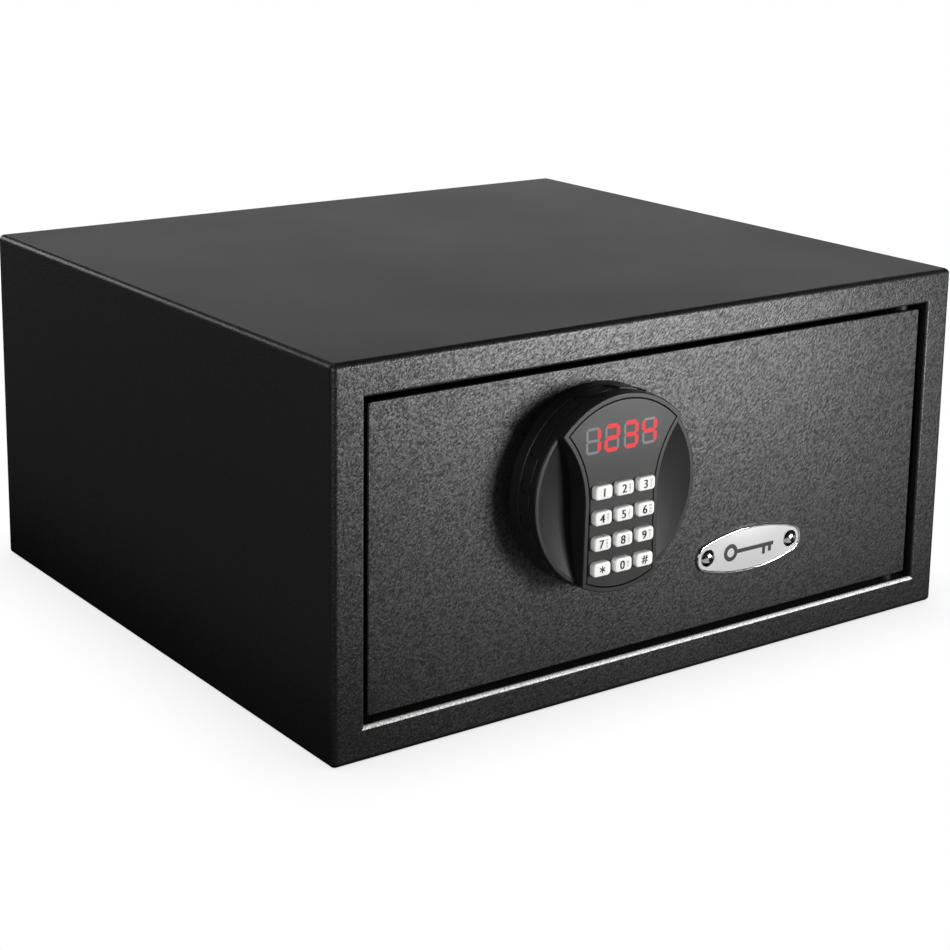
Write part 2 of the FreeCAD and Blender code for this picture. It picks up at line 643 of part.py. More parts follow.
def battery_tray():
    y0 = BAR_BACK_Y + 1.5
    tray = block(TRAY_LEFT, TRAY_RIGHT, y0, LID_BACK_Y, TRAY_LOW, TRAY_HIGH)
    bezel = block(TRAY_LEFT - TRAY_BEZEL, TRAY_RIGHT + TRAY_BEZEL, COVER_BACK_Y, LID_BACK_Y,
                  TRAY_LOW - TRAY_BEZEL, TRAY_HIGH + TRAY_BEZEL)
    hollow = block(TRAY_LEFT + TRAY_WALL, TRAY_RIGHT - TRAY_WALL, y0 + TRAY_FLOOR, LID_BACK_Y + 1,
                   TRAY_LOW + TRAY_WALL, TRAY_HIGH - TRAY_WALL)
    stub_hole = rod_z(LID_STUB_R + RUNNING_CLEARANCE, TRAY_LOW + 1, TRAY_HIGH - 1, LID_AXIS_X, LID_AXIS_Y)
    return tray.fuse(bezel).cut([hollow, stub_hole])


def batteries():
    middle_x = (TRAY_LEFT + TRAY_RIGHT) / 2
    z0 = (TRAY_LOW + TRAY_HIGH - CELL_LENGTH) / 2
    y = BAR_BACK_Y + 3.2 + CELL_R
    cells = []
    for i in range(4):
        x = middle_x + (i - 1.5) * CELL_PITCH
        up = i % 2 == 0
        can_z = z0 if up else z0 + CELL_CAP_H
        cap_z = z0 + CELL_LENGTH - CELL_CAP_H if up else z0
        can = rod_z(CELL_R, can_z, can_z + CELL_LENGTH - CELL_CAP_H, x, y)
        cells.append(can.fuse(rod_z(CELL_CAP_R, cap_z, cap_z + CELL_CAP_H, x, y)))
    return group(cells)


def battery_lid():
    x0 = TRAY_LEFT + TRAY_WALL + LID_GAP
    x1 = TRAY_RIGHT - TRAY_WALL - LID_GAP * 1.5
    z0 = TRAY_LOW + TRAY_WALL + LID_GAP
    z1 = TRAY_HIGH - TRAY_WALL - LID_GAP
    lid = block(x0, x1, LID_BACK_Y - LID_T, LID_BACK_Y, z0, z1)
    finger = rod_y(7, LID_BACK_Y - LID_T - 1, LID_BACK_Y + 1, x0 - 2, (z0 + z1) / 2)
    ribs = []
    for i in range(3):
        rib_x = x0 + 6 + 3 * i
        ribs.append(block(rib_x, rib_x + 1.2, LID_BACK_Y, LID_BACK_Y + 0.7, z0 + 18, z1 - 18))
    stub = rod_z(LID_STUB_R, z0 - 2, z1 + 2, LID_AXIS_X, LID_AXIS_Y)
    return lid.cut(finger).fuse(ribs + [stub])


# ---------------------------------------------------------------- override lock and badge
def lock_barrel():
    barrel = rod_y(BARREL_R, DOOR_Y, CAM_FRONT_Y - 1.5, BADGE_X, BADGE_Z)
    return barrel.cut(rod_y(PLUG_R + RUNNING_CLEARANCE, DOOR_Y - 1, CAM_FRONT_Y, BADGE_X, BADGE_Z))


def lock_nut():
    nut = hexagon_y(LOCK_NUT_AF, DOOR_BACK_Y, DOOR_BACK_Y + LOCK_NUT_T, BADGE_X, BADGE_Z)
    return nut.cut(rod_y(BARREL_R, DOOR_BACK_Y - 1, DOOR_BACK_Y + LOCK_NUT_T + 1, BADGE_X, BADGE_Z))


def square_drive(y0, y1):
    half = CAM_SQUARE
    return block(BADGE_X - half, BADGE_X + half, y0, y1, BADGE_Z - half, BADGE_Z + half)


def lock_plug():
    """Keyed plug, with the square end that drives the cam."""
    plug = rod_y(PLUG_R, DOOR_Y + 0.2, CAM_FRONT_Y, BADGE_X, BADGE_Z)
    keyway = block(BADGE_X - KEYWAY_HALF_W, BADGE_X + KEYWAY_HALF_W, DOOR_Y, DOOR_Y + KEYWAY_DEPTH,
                   BADGE_Z - KEYWAY_HALF_H, BADGE_Z + KEYWAY_HALF_H)
    return plug.cut(keyway).fuse(square_drive(CAM_FRONT_Y, CAM_BACK_Y))


def lock_cam():
    """Arm on the plug, pointing up while the lock is idle."""
    half = CAM_W / 2
    tip_z = BADGE_Z + CAM_LENGTH - half
    hub = rod_y(CAM_HUB_R, CAM_FRONT_Y, CAM_BACK_Y, BADGE_X, BADGE_Z)
    arm = block(BADGE_X - half, BADGE_X + half, CAM_FRONT_Y, CAM_BACK_Y, BADGE_Z, tip_z)
    tip = rod_y(half, CAM_FRONT_Y, CAM_BACK_Y, BADGE_X, tip_z)
    return hub.fuse([arm, tip]).cut(square_drive(CAM_FRONT_Y - 1, CAM_BACK_Y + 1))


def lens_face(end_r, half_h, y):
    """Lens outline: two round ends joined by long shallow arcs, in the plane at y."""
    reach = BADGE_SCREW_X
    side_r = (reach ** 2 + half_h ** 2 - end_r ** 2) / (2 * (half_h - end_r))
    centre_drop = side_r - half_h
    lean = math.atan2(reach, centre_drop)
    touch_x = reach + end_r * math.sin(lean)
    touch_z = end_r * math.cos(lean)
    x0 = BADGE_X
    z0 = BADGE_Z

    def at(dx, dz):
        return V(x0 + dx, y, z0 + dz)

    arcs = [Part.Arc(at(-touch_x, touch_z), at(0, half_h), at(touch_x, touch_z)),
            Part.Arc(at(touch_x, touch_z), at(reach + end_r, 0), at(touch_x, -touch_z)),
            Part.Arc(at(touch_x, -touch_z), at(0, -half_h), at(-touch_x, -touch_z)),
            Part.Arc(at(-touch_x, -touch_z), at(-reach - end_r, 0), at(-touch_x, touch_z))]
    return Part.Face(Part.Wire([a.toShape() for a in arcs]))


def badge_plate():
    """Lens-shaped trim plate with a raised rim; it hides the override lock."""
    raised = V(0, -BADGE_T, 0)
    plate = lens_face(BADGE_END_R, BADGE_HALF_H, DOOR_Y).extrude(raised)
    inner_edge = lens_face(BADGE_END_R - BADGE_RIM_W, BADGE_HALF_H - BADGE_RIM_W, DOOR_Y - BADGE_FIELD_T)
    holes = [rod_y(BADGE_SCREW_R, DOOR_Y - 5, DOOR_Y + 1, x, BADGE_Z) for x in badge_screw_points()]
    return plate.cut([inner_edge.extrude(raised)] + holes)


def badge_screws():
    """Button-head screws with a hexagonal socket."""
    seat_y = DOOR_Y - BADGE_FIELD_T
    top_y = seat_y - BADGE_SCREW_HEAD_H
    rise = BADGE_SCREW_HEAD_H - BADGE_SCREW_RIM_H
    dome_r = (BADGE_SCREW_HEAD_R ** 2 + rise ** 2) / (2 * rise)
    screws = []
    for x in badge_screw_points():
        dome = Part.makeSphere(dome_r, V(x, top_y + dome_r, BADGE_Z))
        head = rod_y(BADGE_SCREW_HEAD_R, top_y - 1, seat_y, x, BADGE_Z).common(dome)
        shank = rod_y(BADGE_SCREW_R, seat_y, DOOR_BACK_Y, x, BADGE_Z)
        socket = hexagon_y(BADGE_SOCKET_AF, top_y - 1, top_y + BADGE_SOCKET_DEPTH, x, BADGE_Z)
        screws.append(head.cut(socket).fuse(shank))
    return group(screws)


# ---------------------------------------------------------------- knob
def bar_outline(height):
    """Hourglass outline of the grip bar, in the plane at a height above the door's face."""
    y = DOOR_Y - height
    tip_z = math.sqrt(KNOB_FRONT_R ** 2 - BAR_TIP_X ** 2)
    foot_z = -math.sqrt(KNOB_FRONT_R ** 2 - BAR_FOOT_X ** 2)
    rise = tip_z - BAR_NECK_Z
    run = BAR_TIP_X - BAR_NECK_X
    waist_r = (run ** 2 + rise ** 2) / (2 * run)
    half_turn = math.atan2(rise, waist_r - run) / 2
    mid_x = BAR_NECK_X + waist_r * (1 - math.cos(half_turn))
    mid_z = BAR_NECK_Z + waist_r * math.sin(half_turn)

    def at(dx, dz):
        return V(KNOB_X + dx, y, KNOB_Z + dz)

    top = Part.Arc(at(-BAR_TIP_X, tip_z), at(0, KNOB_FRONT_R), at(BAR_TIP_X, tip_z))
    right = Part.Arc(at(BAR_TIP_X, tip_z), at(mid_x, mid_z), at(BAR_NECK_X, BAR_NECK_Z))
    right_low = Part.LineSegment(at(BAR_NECK_X, BAR_NECK_Z), at(BAR_FOOT_X, foot_z))
    bottom = Part.Arc(at(BAR_FOOT_X, foot_z), at(0, -KNOB_FRONT_R), at(-BAR_FOOT_X, foot_z))
    left_low = Part.LineSegment(at(-BAR_FOOT_X, foot_z), at(-BAR_NECK_X, BAR_NECK_Z))
    left = Part.Arc(at(-BAR_NECK_X, BAR_NECK_Z), at(-mid_x, mid_z), at(-BAR_TIP_X, tip_z))
    return Part.Wire([c.toShape() for c in (top, right, right_low, bottom, left_low, left)])


def bar_prism(inset, low, high):
    """The hourglass between two heights, drawn in from its edge by inset."""
    face = Part.Face(bar_outline(low))
    if inset > 0:
        face = face.makeOffset2D(-inset, join=2)
    return face.extrude(V(0, low - high, 0))


def dish_cut():
    """The space in front of the dished grip recesses, as a body of revolution."""
    floor_y = DOOR_Y - DISH_FLOOR_H
    rim_y = DOOR_Y - KNOB_RIM_H
    front_y = rim_y - 10
    mid_r = (DISH_FLOOR_R + DISH_RIM_R) / 2
    mid_y = (floor_y + rim_y) / 2 + 1.0
    points = [V(0, front_y, 0), V(0, floor_y, 0), V(DISH_FLOOR_R, floor_y, 0)]
    lip = V(DISH_RIM_R, rim_y, 0)
    top = V(DISH_RIM_R, front_y, 0)
    edges = [Part.makeLine(points[0], points[1]), Part.makeLine(points[1], points[2]),
             Part.Arc(points[2], V(mid_r, mid_y, 0), lip).toShape(),
             Part.makeLine(lip, top), Part.makeLine(top, points[0])]
    solid = Part.Face(Part.Wire(edges)).revolve(V(0, 0, 0), Y_AXIS, 360)
    solid.translate(V(KNOB_X, 0, KNOB_Z))
    return solid


def rim_notch(turn_deg):
    """One U-shaped notch in the rim, open at the ridge's front edge."""
    depth_in = KNOB_R - NOTCH_DEPTH
    end_h = KNOB_RIDGE_H - NOTCH_REACH + NOTCH_R
    end_y = DOOR_Y - end_h
    round_end = Part.makeCylinder(NOTCH_R, 10, V(depth_in, end_y, 0), X_AXIS)
    run = Part.makeBox(10, end_y - (DOOR_Y - KNOB_RIDGE_H - 0.2), 2 * NOTCH_R,
                       V(depth_in, DOOR_Y - KNOB_RIDGE_H - 0.2, -NOTCH_R))
    notch = round_end.fuse(run)
    notch.rotate(V(0, 0, 0), Y_AXIS, -turn_deg)
    notch.translate(V(KNOB_X, 0, KNOB_Z))
    return notch


def knob_drum():
    """Notched rim, front ring with a dished grip recess each side, and the bar's walls."""
    rear = knob_rod(KNOB_R, KNOB_REAR_H, KNOB_RIDGE_H)
    rear = rear.makeFillet(0.5, edges_at_y(rear, DOOR_Y - KNOB_RIDGE_H))
    rear = rear.cut([rim_notch(NOTCH_FIRST_DEG + i * 360 / RIM_NOTCHES) for i in range(RIM_NOTCHES)])
    ring = knob_rod(KNOB_FRONT_R, KNOB_REAR_H, KNOB_RIM_H)
    ring = ring.makeFillet(0.8, edges_at_y(ring, DOOR_Y - KNOB_RIM_H))
    disc = rear.fuse(ring).cut(dish_cut())
    bar = bar_prism(0, DISH_FLOOR_H - DISH_SKIN, KNOB_BAR_H)
    bar = bar.makeFillet(0.6, edges_at_y(bar, DOOR_Y - KNOB_BAR_H))
    seat_h = KNOB_BAR_H - PANEL_T
    cavities = [knob_rod(KNOB_R - KNOB_WALL, 0, DISH_FLOOR_H - DISH_SKIN),
                bar_prism(LEDGE_INSET, 5, KNOB_BAR_H + 1),
                bar_prism(PANEL_INSET, seat_h, KNOB_BAR_H + 1)]
    drum = disc.fuse(bar).cut(cavities)
    screws = [knob_rod(SPINDLE_SCREW_R, 5, DISH_FLOOR_H - 0.6, dx, dz) for dx, dz in spindle_screw_points()]
    return drum.cut(screws)


def spindle_screw_points():
    return [(sx * SPINDLE_SCREW_X, sz * SPINDLE_SCREW_Z) for sx in (-1, 1) for sz in (-1, 1)]


def key_centres():
    """Every key's name and its place relative to the knob's centre."""
    centres = []
    for names, dz in zip(KEY_NAMES, KEY_ROWS):
        centres += [(name, dx, dz) for name, dx in zip(names, KEY_COLUMNS)]
    return centres


def knob_block(half_w, half_h, low, high, dx, dz):
    x = KNOB_X + dx
    z = KNOB_Z + dz
    return block(x - half_w, x + half_w, DOOR_Y - high, DOOR_Y - low, z - half_h, z + half_h)


def rounded_block(half_w, half_h, low, high, dx, dz, corner_r):
    shape = knob_block(half_w, half_h, low, high, dx, dz)
    return shape.makeFillet(corner_r, edges_along(shape, Y_AXIS))


def face_panel():
    """Inset face of the bar, with a window for the display and a hole for each key."""
    low = KNOB_BAR_H - PANEL_T
    panel = bar_prism(PANEL_INSET + PANEL_GAP, low, KNOB_BAR_H)
    through = (low - 1, KNOB_BAR_H + 1)
    half_w = KEY_W / 2 + KEY_HOLE_GAP
    half_h = KEY_H / 2 + KEY_HOLE_GAP
    cuts = [knob_block(DISPLAY_W / 2, DISPLAY_H / 2, *through, 0, DISPLAY_Z)]
    for _, dx, dz in key_centres():
        cuts.append(rounded_block(half_w, half_h, *through, dx, dz, KEY_CORNER_R + KEY_HOLE_GAP))
    return panel.cut(cuts)


def display_lens():
    return knob_block(DISPLAY_W / 2, DISPLAY_H / 2, KNOB_BAR_H - PANEL_T, KNOB_BAR_H, 0, DISPLAY_Z)


def display_module():
    front = KNOB_BAR_H - PANEL_T
    return knob_block(DISPLAY_W / 2 - 1, DISPLAY_H / 2 - 0.6, KEYPAD_BOARD_HIGH, front, 0, DISPLAY_Z)


def keypad_board():
    return bar_prism(LEDGE_INSET + 0.6, KEYPAD_BOARD_LOW, KEYPAD_BOARD_HIGH)


def key_membrane():
    """Rubber sheet with a dome under each key."""
    half_h = (KEY_ROWS[0] - KEY_ROWS[3]) / 2 + 4.4
    middle = (KEY_ROWS[0] + KEY_ROWS[3]) / 2
    sheet = knob_block(19.0, half_h, KEYPAD_BOARD_HIGH, KEYPAD_BOARD_HIGH + 1.2, 0, middle)
    top = KNOB_BAR_H - PANEL_T - KEY_FLANGE_T - 1.3
    return sheet.fuse([knob_rod(2.8, KEYPAD_BOARD_HIGH, top, dx, dz) for _, dx, dz in key_centres()])


def key(dx, dz):
    """One push key: rounded cap with a retaining flange under the panel."""
    flange_high = KNOB_BAR_H - PANEL_T - 0.1
    flange_low = flange_high - KEY_FLANGE_T
    top = KNOB_BAR_H + KEY_PROUD
    cap = rounded_block(KEY_W / 2, KEY_H / 2, flange_low, top, dx, dz, KEY_CORNER_R)
    cap = cap.makeFillet(KEY_EDGE_R, edges_at_y(cap, DOOR_Y - top))
    flange = knob_block(KEY_FLANGE_W / 2, KEY_FLANGE_H / 2, flange_low, flange_high, dx, dz)
    return cap.fuse(flange)


def spindle():
    """Hollow spindle with the flange that holds the knob."""
    flange = knob_rod(SPINDLE_FLANGE_R, SPINDLE_FLANGE_LOW, DISH_FLOOR_H - DISH_SKIN)
    shaft = rod_y(SPINDLE_R, DOOR_Y - SPINDLE_SHOULDER_H, DISC_FRONT_Y, KNOB_X, KNOB_Z)
    end = rod_y(SPINDLE_END_R, DISC_FRONT_Y, DISC_BACK_Y, KNOB_X, KNOB_Z)
    bore = rod_y(SPINDLE_BORE_R, DOOR_Y - 20, DISC_BACK_Y + 1, KNOB_X, KNOB_Z)
    holes = [knob_rod(SPINDLE_SCREW_R, 5, 15, dx, dz) for dx, dz in spindle_screw_points()]
    return flange.fuse([shaft, end]).cut([bore] + holes)


def spindle_screws():
    ends = (DOOR_Y - SPINDLE_FLANGE_LOW, DOOR_Y - DISH_FLOOR_H + 0.6)
    return group([pan_screw_y(SPINDLE_SCREW_R, 2.6, 0.7, *ends, KNOB_X + dx, KNOB_Z + dz)
                  for dx, dz in spindle_screw_points()])


def drive_disc():
    """Crank disc on the spindle's rear end, with the pin that moves the bolt bar."""
    turn = math.radians(CRANK_REST_DEG)
    disc = rod_y(CRANK_DISC_R, DISC_FRONT_Y, DISC_BACK_Y, KNOB_X, KNOB_Z)
    bore = rod_y(SPINDLE_END_R, DISC_FRONT_Y - 1, DISC_BACK_Y + 1, KNOB_X, KNOB_Z)
    pin = rod_y(CRANK_PIN_R, DISC_FRONT_Y, BAR_BACK_Y + 1.8,
                KNOB_X + CRANK_R * math.cos(turn), KNOB_Z + CRANK_R * math.sin(turn))
    return disc.cut(bore).fuse(pin)


def knob_cable():
    return rod_y(CABLE_R, DOOR_Y - KEYPAD_BOARD_LOW, CABLE_JOIN_Y, KNOB_X, KNOB_Z)


def bent_tube(points, radius):
    """A round tube of straight runs joined by tangent arcs."""
    edges = []
    start = points[0]
    radii = []
    for before, corner, after in zip(points, points[1:], points[2:]):
        back = (before - corner).normalize()
        ahead = (after - corner).normalize()
        half_turn = (math.pi - back.getAngle(ahead)) / 2
        shorter = min((before - corner).Length, (after - corner).Length)
        bend_r = 0.45 * shorter / math.tan(half_turn)
        radii.append(bend_r)
        first = corner + back * 0.45 * shorter
        last = corner + ahead * 0.45 * shorter
        inward = (back + ahead).normalize()
        middle = corner + inward * (bend_r / math.cos(half_turn) - bend_r)
        edges.append(Part.makeLine(start, first))
        edges.append(Part.Arc(first, middle, last).toShape())
        start = last
    edges.append(Part.makeLine(start, points[-1]))
    path = Part.Wire(edges)
    ring = Part.Wire(Part.makeCircle(radius, points[0], points[1] - points[0]))
    tube = path.makePipeShell([ring], True, True)
    print("bend radii", [round(r, 1) for r in radii], "length", round(path.Length, 1),
          "volume error", round(tube.Volume / (math.pi * radius ** 2 * path.Length) - 1, 4))
    return tube


def board_cable():
    """Lead from the spindle's rear end to the control board's socket."""
    socket_y = BOARD_FRONT_Y - 3.5
    socket_z = 81.0
    route = [V(KNOB_X, CABLE_JOIN_Y, KNOB_Z), V(KNOB_X, -156.0, KNOB_Z), V(-34, -149.5, 104),
             V(-4, -149.5, 86), V(28, -149.7, 77), V(58, -149.5, 79), V(82, socket_y, socket_z),
             V(BOARD_X0, socket_y, socket_z)]
    return bent_tube(route, CABLE_R)


# ---------------------------------------------------------------- write every sub-part
def main():
    os.makedirs("parts", exist_ok=True)
    makers = (body_shell, back_panel, door_jamb, hinge_bushes, floor_mat,
              door_plate, hinge_blocks, hinge_pins, hinge_spacers, lock_case, inner_cover, cover_screws,
              knob_base, base_screws, spindle_bush, bush_nut, bolt_guides, guide_studs,
              bolt_bar, locking_bolts, bolt_nuts,
              solenoid_frame, solenoid_coil, plunger,
              control_board, board_components, board_cable, reset_button,
              battery_tray, batteries, battery_lid,
              lock_barrel, lock_nut, lock_plug, lock_cam, badge_plate, badge_screws,
              knob_drum, face_panel, display_lens, display_module, keypad_board, key_membrane,
              spindle, spindle_screws, drive_disc, knob_cable)
    for maker in makers:
        save(maker.__name__, maker())
    for name, dx, dz in key_centres():
        save("key_" + name, key(dx, dz))


main()
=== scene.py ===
"""In-room hotel safe: camera, studio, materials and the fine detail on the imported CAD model."""
import bmesh
import bpy
import json
import math
from mathutils import Matrix, Vector, noise


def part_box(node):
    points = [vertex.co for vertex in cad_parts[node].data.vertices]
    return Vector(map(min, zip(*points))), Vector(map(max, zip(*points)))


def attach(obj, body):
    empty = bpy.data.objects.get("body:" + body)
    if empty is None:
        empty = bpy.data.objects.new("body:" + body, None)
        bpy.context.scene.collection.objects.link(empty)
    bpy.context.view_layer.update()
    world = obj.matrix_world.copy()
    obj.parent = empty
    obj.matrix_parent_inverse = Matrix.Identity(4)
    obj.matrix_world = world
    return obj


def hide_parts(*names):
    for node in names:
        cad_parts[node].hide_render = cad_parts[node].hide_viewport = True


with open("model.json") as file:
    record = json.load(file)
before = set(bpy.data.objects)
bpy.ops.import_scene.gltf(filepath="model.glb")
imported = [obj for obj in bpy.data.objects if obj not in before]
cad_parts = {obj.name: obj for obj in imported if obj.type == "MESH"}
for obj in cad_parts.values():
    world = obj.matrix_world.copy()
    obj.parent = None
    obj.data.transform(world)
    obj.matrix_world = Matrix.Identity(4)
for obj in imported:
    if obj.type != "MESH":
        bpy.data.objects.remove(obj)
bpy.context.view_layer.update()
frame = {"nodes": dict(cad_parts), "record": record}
NODES = frame["nodes"]
SLOT_OF = {part["node"]: part["material_slot"] for part in frame["record"]["subparts"]}
MM = 0.001


# ---------------------------------------------------------------- mesh helpers
def add_object(name, mesh, material, body, smooth=None):
    """Links a mesh as a piece that rides on a body.

    smooth is the sharpest angle that is still shaded smooth, in degrees.
    """
    piece = bpy.data.objects.new(name, mesh)
    bpy.context.scene.collection.objects.link(piece)
    mesh.materials.append(material)
    if smooth is not None:
        mesh.polygons.foreach_set("use_smooth", [True] * len(mesh.polygons))
        mesh.set_sharp_from_angle(angle=math.radians(smooth))
    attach(piece, body)
    return piece


def mesh_from(name, points, faces):
    mesh = bpy.data.meshes.new(name)
    mesh.from_pydata([tuple(p) for p in points], [], faces)
    mesh.update()
    return mesh


def join_rings(rings, cap_end=False):
    """Points and faces of a surface through closed rings that have the same number of points."""
    count = len(rings[0])
    points = [p for ring in rings for p in ring]
    faces = []
    for k in range(len(rings) - 1):
        for i in range(count):
            j = (i + 1) % count
            faces.append((k * count + i, k * count + j, (k + 1) * count + j, (k + 1) * count + i))
    if cap_end:
        faces.append(tuple(range((len(rings) - 1) * count, len(rings) * count)))
    return points, faces


def prism(outline, y_low, y_high, points, faces):
    """Adds a straight-sided prism along Y to points and faces; outline is a list of (x, z)."""
    start = len(points)
    count = len(outline)
    points += [(x, y_low, z) for x, z in outline] + [(x, y_high, z) for x, z in outline]
    faces.append(tuple(range(start, start + count)))
    faces.append(tuple(reversed(range(start + count, start + 2 * count))))
    for i in range(count):
        j = (i + 1) % count
        faces.append((start + i, start + count + i, start + count + j, start + j))


def fix_normals(mesh):
    work = bmesh.new()
    work.from_mesh(mesh)
    bmesh.ops.recalc_face_normals(work, faces=work.faces)
    work.to_mesh(mesh)
    work.free()
    return mesh


def wire(name, path, radius, material, body):
    """A round wire along a list of points, as a mesh."""
    curve = bpy.data.curves.new(name, "CURVE")
    curve.dimensions = "3D"
    curve.bevel_depth = radius
    curve.bevel_resolution = 2
    curve.use_fill_caps = True
    spline = curve.splines.new("POLY")
    spline.points.add(len(path) - 1)
    for point, place in zip(spline.points, path):
        point.co = (*place, 1)
    holder = bpy.data.objects.new(name, curve)
    mesh = bpy.data.meshes.new_from_object(holder)
    bpy.data.objects.remove(holder)
    mesh.materials.clear()
    return add_object(name, mesh, material, body, smooth=60)


# ---------------------------------------------------------------- materials
class Finish:
    """A Principled material and short names for the nodes that shape it, in object coordinates in metres."""

    def __init__(self, name, colour, roughness, metallic=0.0, **inputs):
        self.material = bpy.data.materials.new(name)
        self.material.use_nodes = True
        self.tree = self.material.node_tree
        self.shader = self.tree.nodes["Principled BSDF"]
        self.place = self.tree.nodes.new("ShaderNodeTexCoord").outputs["Object"]
        self.set(self.shader, "Base Color", (*colour, 1.0))
        self.set(self.shader, "Roughness", roughness)
        self.set(self.shader, "Metallic", metallic)
        for key, value in inputs.items():
            self.set(self.shader, key.replace("_", " "), value)

    def set(self, node, key, value):
        socket = node.inputs[key]
        if isinstance(value, bpy.types.NodeSocket):
            self.tree.links.new(value, socket)
        else:
            socket.default_value = value

    def node(self, kind, output, inputs, **settings):
        made = self.tree.nodes.new("ShaderNode" + kind)
        for key, value in settings.items():
            setattr(made, key, value)
        for key, value in inputs.items():
            self.set(made, key, value)
        return made.outputs[output]

    def stretched(self, x, y, z):
        return self.node("Mapping", "Vector", {"Vector": self.place, "Scale": (x, y, z)})

    def noise(self, scale, detail=2.0, roughness=0.5, place=None, distortion=0.0):
        return self.node("TexNoise", "Fac", {"Vector": place or self.place, "Scale": scale, "Detail": detail,
                                             "Roughness": roughness, "Distortion": distortion})

    def cells(self, scale, smoothness):
        inputs = {"Vector": self.place, "Scale": scale, "Smoothness": smoothness}
        return self.node("TexVoronoi", "Distance", inputs, feature="SMOOTH_F1")

    def remap(self, value, low, high, to_low=0.0, to_high=1.0):
        return self.node("MapRange", "Result", {"Value": value, "From Min": low, "From Max": high,
                                                "To Min": to_low, "To Max": to_high})

    def math(self, operation, a, b=0.0):
        made = self.tree.nodes.new("ShaderNodeMath")
        made.operation = operation
        self.set(made, 0, a)
        self.set(made, 1, b)
        return made.outputs[0]

    def blend(self, share, a, b):
        made = self.tree.nodes.new("ShaderNodeMix")
        made.data_type = "RGBA"
        for socket in made.inputs:
            if socket.name == "Factor" and socket.type == "VALUE":
                self.tree.links.new(share, socket)
            elif socket.type == "RGBA" and socket.name in "AB":
                colour = a if socket.name == "A" else b
                if isinstance(colour, bpy.types.NodeSocket):
                    self.tree.links.new(colour, socket)
                else:
                    socket.default_value = (*colour, 1.0)
        return next(s for s in made.outputs if s.type == "RGBA")

    def bump(self, height, distance, strength=1.0):
        normal = self.node("Bump", "Normal", {"Height": height, "Distance": distance, "Strength": strength})
        self.set(self.shader, "Normal", normal)


# The y, in metres, between which the painted highlight along the sill fades in: only the cabinet's front edge
# shows it.
SILL_HIGHLIGHT_BEHIND_Y = -0.1850
SILL_HIGHLIGHT_FRONT_Y = -0.1858
SILL_HIGHLIGHT_COLOUR = (0.9, 0.9, 0.89)


def powder_coat(name, colour, roughness, depth, sill=None):
    """Black powder coat with a leathery grain of short slanting strokes.

    sill is the height in mm of the rounded edge below the door, along which a bright highlight is painted
    into the coat's colour.
    """
    made = Finish(name, colour, roughness)
    slanted = made.node("Mapping", "Vector", {
        "Vector": made.place, "Rotation": (0.0, math.radians(45.0), 0.0),
        "Scale": (0.0008, 0.001, 0.0016)}, vector_type="TEXTURE")
    strokes = made.noise(1.0, 1.5, 0.5, place=slanted, distortion=0.4)
    broad = made.noise(560.0, 1.0, 0.4)
    pits = made.cells(900.0, 0.5)
    height = made.math("ADD", made.math("MULTIPLY", strokes, 1.3), made.math("MULTIPLY", pits, -0.35))
    height = made.math("ADD", height, made.math("MULTIPLY", broad, 0.4))
    made.bump(height, depth, 1.0)
    # the grain shows most on the faces turned to the front
    turned = made.node("TexCoord", "Normal", {})
    facing = made.math("ABSOLUTE", made.node("SeparateXYZ", "Y", {"Vector": turned}))
    share = made.math("MULTIPLY", made.remap(strokes, 0.34, 0.66, -0.3, 0.3),
                      made.remap(facing, 0.0, 1.0, 0.15, 1.0))
    made.set(made.shader, "Specular IOR Level", made.math("ADD", share, 0.5))
    drift = made.noise(9.0, 2.0, 0.5)
    made.set(made.shader, "Roughness", made.remap(drift, 0.3, 0.7, roughness - 0.02, roughness + 0.02))
    # painted shade: the coat is darker in the pits of its grain
    coat = made.blend(made.remap(pits, 0.1, 0.7), colour, tuple(c * 0.7 for c in colour))
    if sill:
        # painted highlight: a bright line on the sill's rounded upper edge, broken up by the grain
        place_z = made.node("SeparateXYZ", "Z", {"Vector": made.place})
        edge = made.math("MULTIPLY", made.remap(place_z, (sill - 2.2) * MM, (sill - 1.5) * MM),
                         made.remap(place_z, (sill + 0.3) * MM, sill * MM + 0.0001))
        upward = made.remap(made.node("SeparateXYZ", "Z", {"Vector": turned}), 0.0, 0.15)
        place_y = made.node("SeparateXYZ", "Y", {"Vector": made.place})
        forward = made.remap(place_y, SILL_HIGHLIGHT_BEHIND_Y, SILL_HIGHLIGHT_FRONT_Y)
        sill_highlight = made.math("MULTIPLY", made.math("MULTIPLY", edge, upward), forward)
        sill_highlight = made.math("MULTIPLY", sill_highlight, made.remap(strokes, 0.3, 0.6, 0.45, 1.0))
        coat = made.blend(sill_highlight, coat, SILL_HIGHLIGHT_COLOUR)
    made.set(made.shader, "Base Color", coat)
    return made.material


def moulded_plastic(name, colour, roughness, scale=2600.0, depth=0.00003, **inputs):
    """Plastic with the fine spark-eroded grain of its mould."""
    made = Finish(name, colour, roughness, **inputs)
    grain = made.noise(scale, 2.0, 0.6)
    made.bump(grain, depth, 1.0)
    drift = made.noise(60.0, 2.0)
    made.set(made.shader, "Roughness", made.remap(drift, 0.3, 0.7, roughness - 0.03, roughness + 0.03))
    return made.material


def drawn_metal(name, colour, roughness, along, depth=0.00001, **inputs):
    """Metal with fine lines along one axis: along is the stretch of the pattern on each axis."""
    made = Finish(name, colour, roughness, 1.0, **inputs)
    lines = made.noise(1.0, 3.0, 0.6, place=made.stretched(*along))
    made.bump(lines, depth, 0.6)
    made.set(made.shader, "Roughness", made.remap(lines, 0.3, 0.7, roughness - 0.06, roughness + 0.08))
    cloud = made.noise(45.0, 3.0)
    made.set(made.shader, "Base Color", made.blend(made.remap(cloud, 0.3, 0.75), colour,
                                                   tuple(c * 0.86 for c in colour)))
    return made.material


